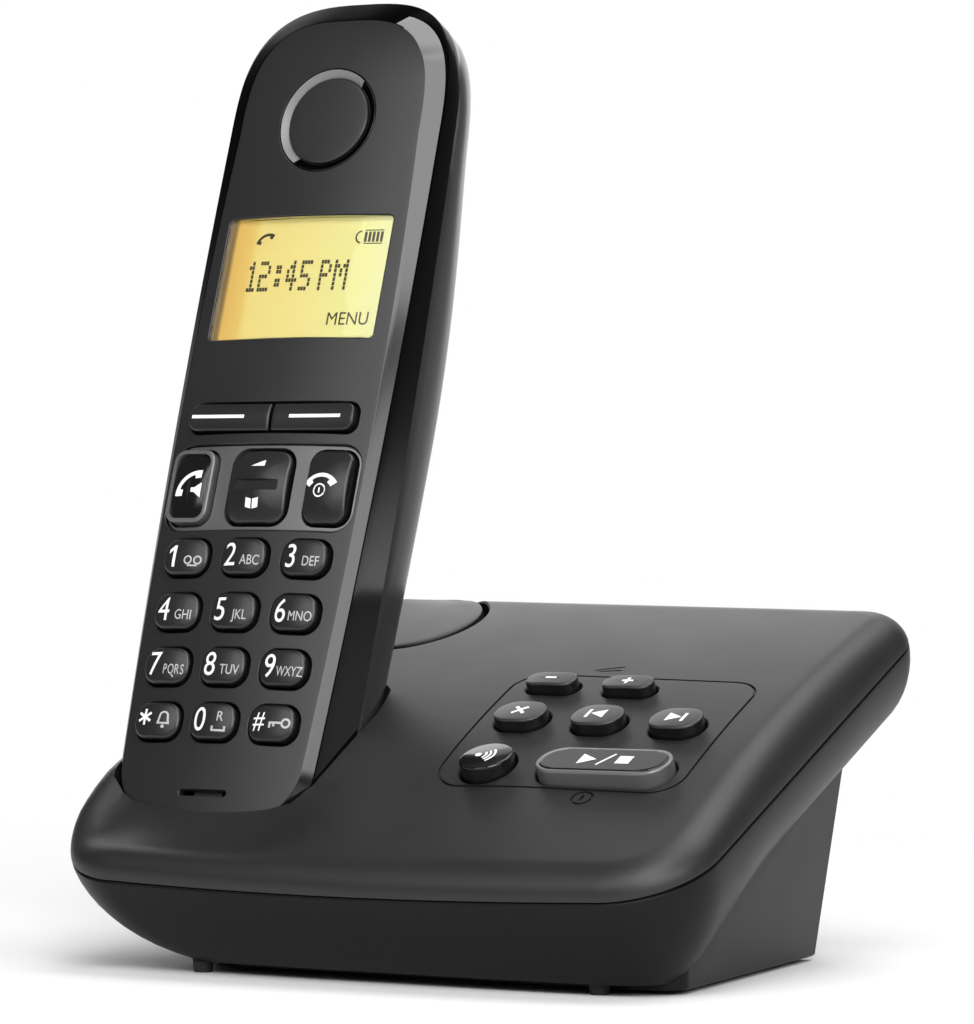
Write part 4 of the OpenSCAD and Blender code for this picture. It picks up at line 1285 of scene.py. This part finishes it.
for name, k in baseKeys.items():
    cx, ct = basePlace(k)
    spot = baseMm @ Matrix.Translation((cx, ct, 0))
    cap = baseCap(name, k)
    high = plainTop(cx, ct) + basePanel["proud"]
    if name == "key_play_stop":
        carve(cap, post(roundRect(*playKey["well"]), high - playKey["deep"], 30))
        handOver(cap, name, [name], [silver, silver], matrix=spot)
        cap = keyCap("playInsert", playKey["insert"], lambda x, y: high + playKey["proud"], 0, high - 0.95,
                     playKey["fillet"], flange=None)
    shapes = [prism([loop], 0, basePanel["sky"]) for loop in baseSigns[name]]
    if name == "key_play_stop":
        sign("legend_play", cap, shapes, name, matrix=spot)
        handOver(cap, name, ["play_key_insert"], [blackGloss], matrix=spot)
        continue
    slot, paint = ("gloss_black", blackGloss) if name == "key_page" else ("key_black", keyTop)
    sign("legend_" + name, cap, shapes, name, matrix=spot)
    handOver(cap, name, [name], [paint, keySide], matrix=spot)
print("base keys ready")


# Speaker disc and feet
def discPiece():
    edge = speaker["edge"]
    r = speaker["r"] - edge

    def ring(inset, height):
        return raised(circle(r - inset, speaker["points"]), height, speaker["x"], speaker["t"])
    rings = [ring(0, speaker["floor"] + 0.05), ring(0, lambda x, t: rolledTop(x, t) - edge),
             ring(0.12, lambda x, t: rolledTop(x, t) - 0.15)]
    return loft("speakerDisc", rings + [ring(o, rolledTop) for o in (edge, 2, 5, 8, 11, 13.6)])


handOver(discPiece(), "base", ["speaker_disc"], [basePlastic], matrix=baseMm)


# Each foot: place, radius, height
feet = [(x, hull["pegY"], 1.9, 1.95) for x in hull["pegs"]] + [(x, 84.18, 4.0, 0.75) for x in (39, -39)]
footProfile = ((0.3, 0.0), (0.82, 0.0), (0.88, 0.06), (0.9, 0.2), (1.0, 1.0))


def footPieces():
    made = [loft("foot", [raised(circle(r * f, 40), z * h, x, y) for f, z in footProfile]) for x, y, r, h in feet]
    return joined(made, "rubberFeet")


handOver(footPieces(), "base", ["rubber_feet"], [rubber], matrix=floorMm)
print("speaker and feet ready")

# The inner pieces keep their solids and get a finish
inner = {"handset_board": boardGreen, "base_board": boardGreen, "keypad_mat": rubber, "base_key_mat": rubber,
         "earpiece_speaker": speakerMetal, "base_speaker": speakerMetal, "handset_microphone": speakerMetal,
         "battery_cell_left": cellWrap, "battery_cell_right": cellWrap, "battery_contacts": steel,
         "handset_screws": steel, "base_screws": steel, "handset_charge_pads": gold, "charge_contacts": gold,
         "line_socket": socketPlastic, "power_socket": socketPlastic}
for name, paint in inner.items():
    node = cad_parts[name]
    node.data.materials.clear()
    node.data.materials.append(paint)

# Floor, backdrop and soft studio light
studio = {"floor": 0.76, "floorSize": 8, "world": 0.15, "behind": 1.5, "wall": (2.2, 1.7), "sunk": 0.02,
          "shadow": (0.16, 0.42)}


def lightPath(p):
    n = p.tree.nodes.new("ShaderNodeLightPath")
    return [Wire(p, n.outputs[k]) for k in ("Is Camera Ray", "Is Glossy Ray", "Is Transmission Ray")]


def paleStage(name, colour, mask):
    p = Paint(name)
    eye, gloss, through = lightPath(p)
    p.set(Base_Color=p.blend(p.noise(3), grey(colour), grey(colour + 0.015)), Roughness=0.9, Specular_IOR_Level=0.0)
    white = p.node("ShaderNodeEmission", {}, Color=grey(1.0), Strength=1.0)
    seen = p.node("ShaderNodeMath", {"operation": "MINIMUM"}, eye + gloss + through, 1.0)
    mix = p.tree.nodes.new("ShaderNodeMixShader")
    p.feed(mix.inputs[0], seen * mask(p) if mask else seen)
    p.tree.links.new(p.shader.outputs[0], mix.inputs[1])
    p.tree.links.new(white.out, mix.inputs[2])
    p.tree.links.new(mix.outputs[0], p.tree.nodes["Material Output"].inputs["Surface"])
    return p.material


def farAway(p):
    away = p.node("ShaderNodeVectorMath", {"operation": "LENGTH"}, p.spot, out=1)
    return p.smooth(away, *studio["shadow"])


deselect()
bpy.ops.mesh.primitive_plane_add(size=studio["floorSize"], location=(0, 0, 0))
floor = bpy.context.object
floor.name = "floor"
floor.data.materials.append(paleStage("paleFloor", studio["floor"], farAway))

turn = math.radians(shot["turn"])
deselect()
wallSpot = (-math.sin(turn) * studio["behind"], math.cos(turn) * studio["behind"],
            studio["wall"][1] / 2 - studio["sunk"])
bpy.ops.mesh.primitive_plane_add(size=1, location=wallSpot, rotation=(math.radians(90), 0, turn))
backdrop = bpy.context.object
backdrop.name = "backdrop"
backdrop.scale = (studio["wall"][0], studio["wall"][1], 1)
bpy.ops.object.transform_apply(location=True, rotation=True, scale=True)
backdrop.data.materials.append(paleStage("paleWall", studio["floor"], None))

world = bpy.data.worlds.new("studio")
bpy.context.scene.world = world
world.use_nodes = True
world.node_tree.nodes["Background"].inputs["Color"].default_value = grey(1.0)
world.node_tree.nodes["Background"].inputs["Strength"].default_value = studio["world"]


def softbox(name, spot, aim, size, watts):
    deselect()
    bpy.ops.object.light_add(type="AREA", location=spot)
    lamp = bpy.context.object
    lamp.name = name
    lamp.data.shape, lamp.data.size, lamp.data.size_y, lamp.data.energy = "RECTANGLE", size[0], size[1], watts
    lamp.rotation_mode = "QUATERNION"
    lamp.rotation_quaternion = (Vector(aim) - lamp.location).to_track_quat("-Z", "Y")


softbox("faceSoftbox", (-0.20, -0.94, 0.73), (0, 0, 0.1), (0.6, 0.6), 3.4)
softbox("stripSoftbox", (0.86, -0.62, 0.45), (0, 0, 0.1), (1.0, 0.4), 6.5)
softbox("crownSoftbox", (0.43, -0.69, 0.92), (0, 0, 0.14), (0.55, 0.8), 9)
softbox("rearSoftbox", (-0.77, 0.92, 0.72), (0, 0, 0.05), (1.0, 0.65), 3.4)
softbox("topSoftbox", (0.3, 0.4, 1.3), (0, 0, 0), (1.1, 1.1), 13)
print("studio ready")
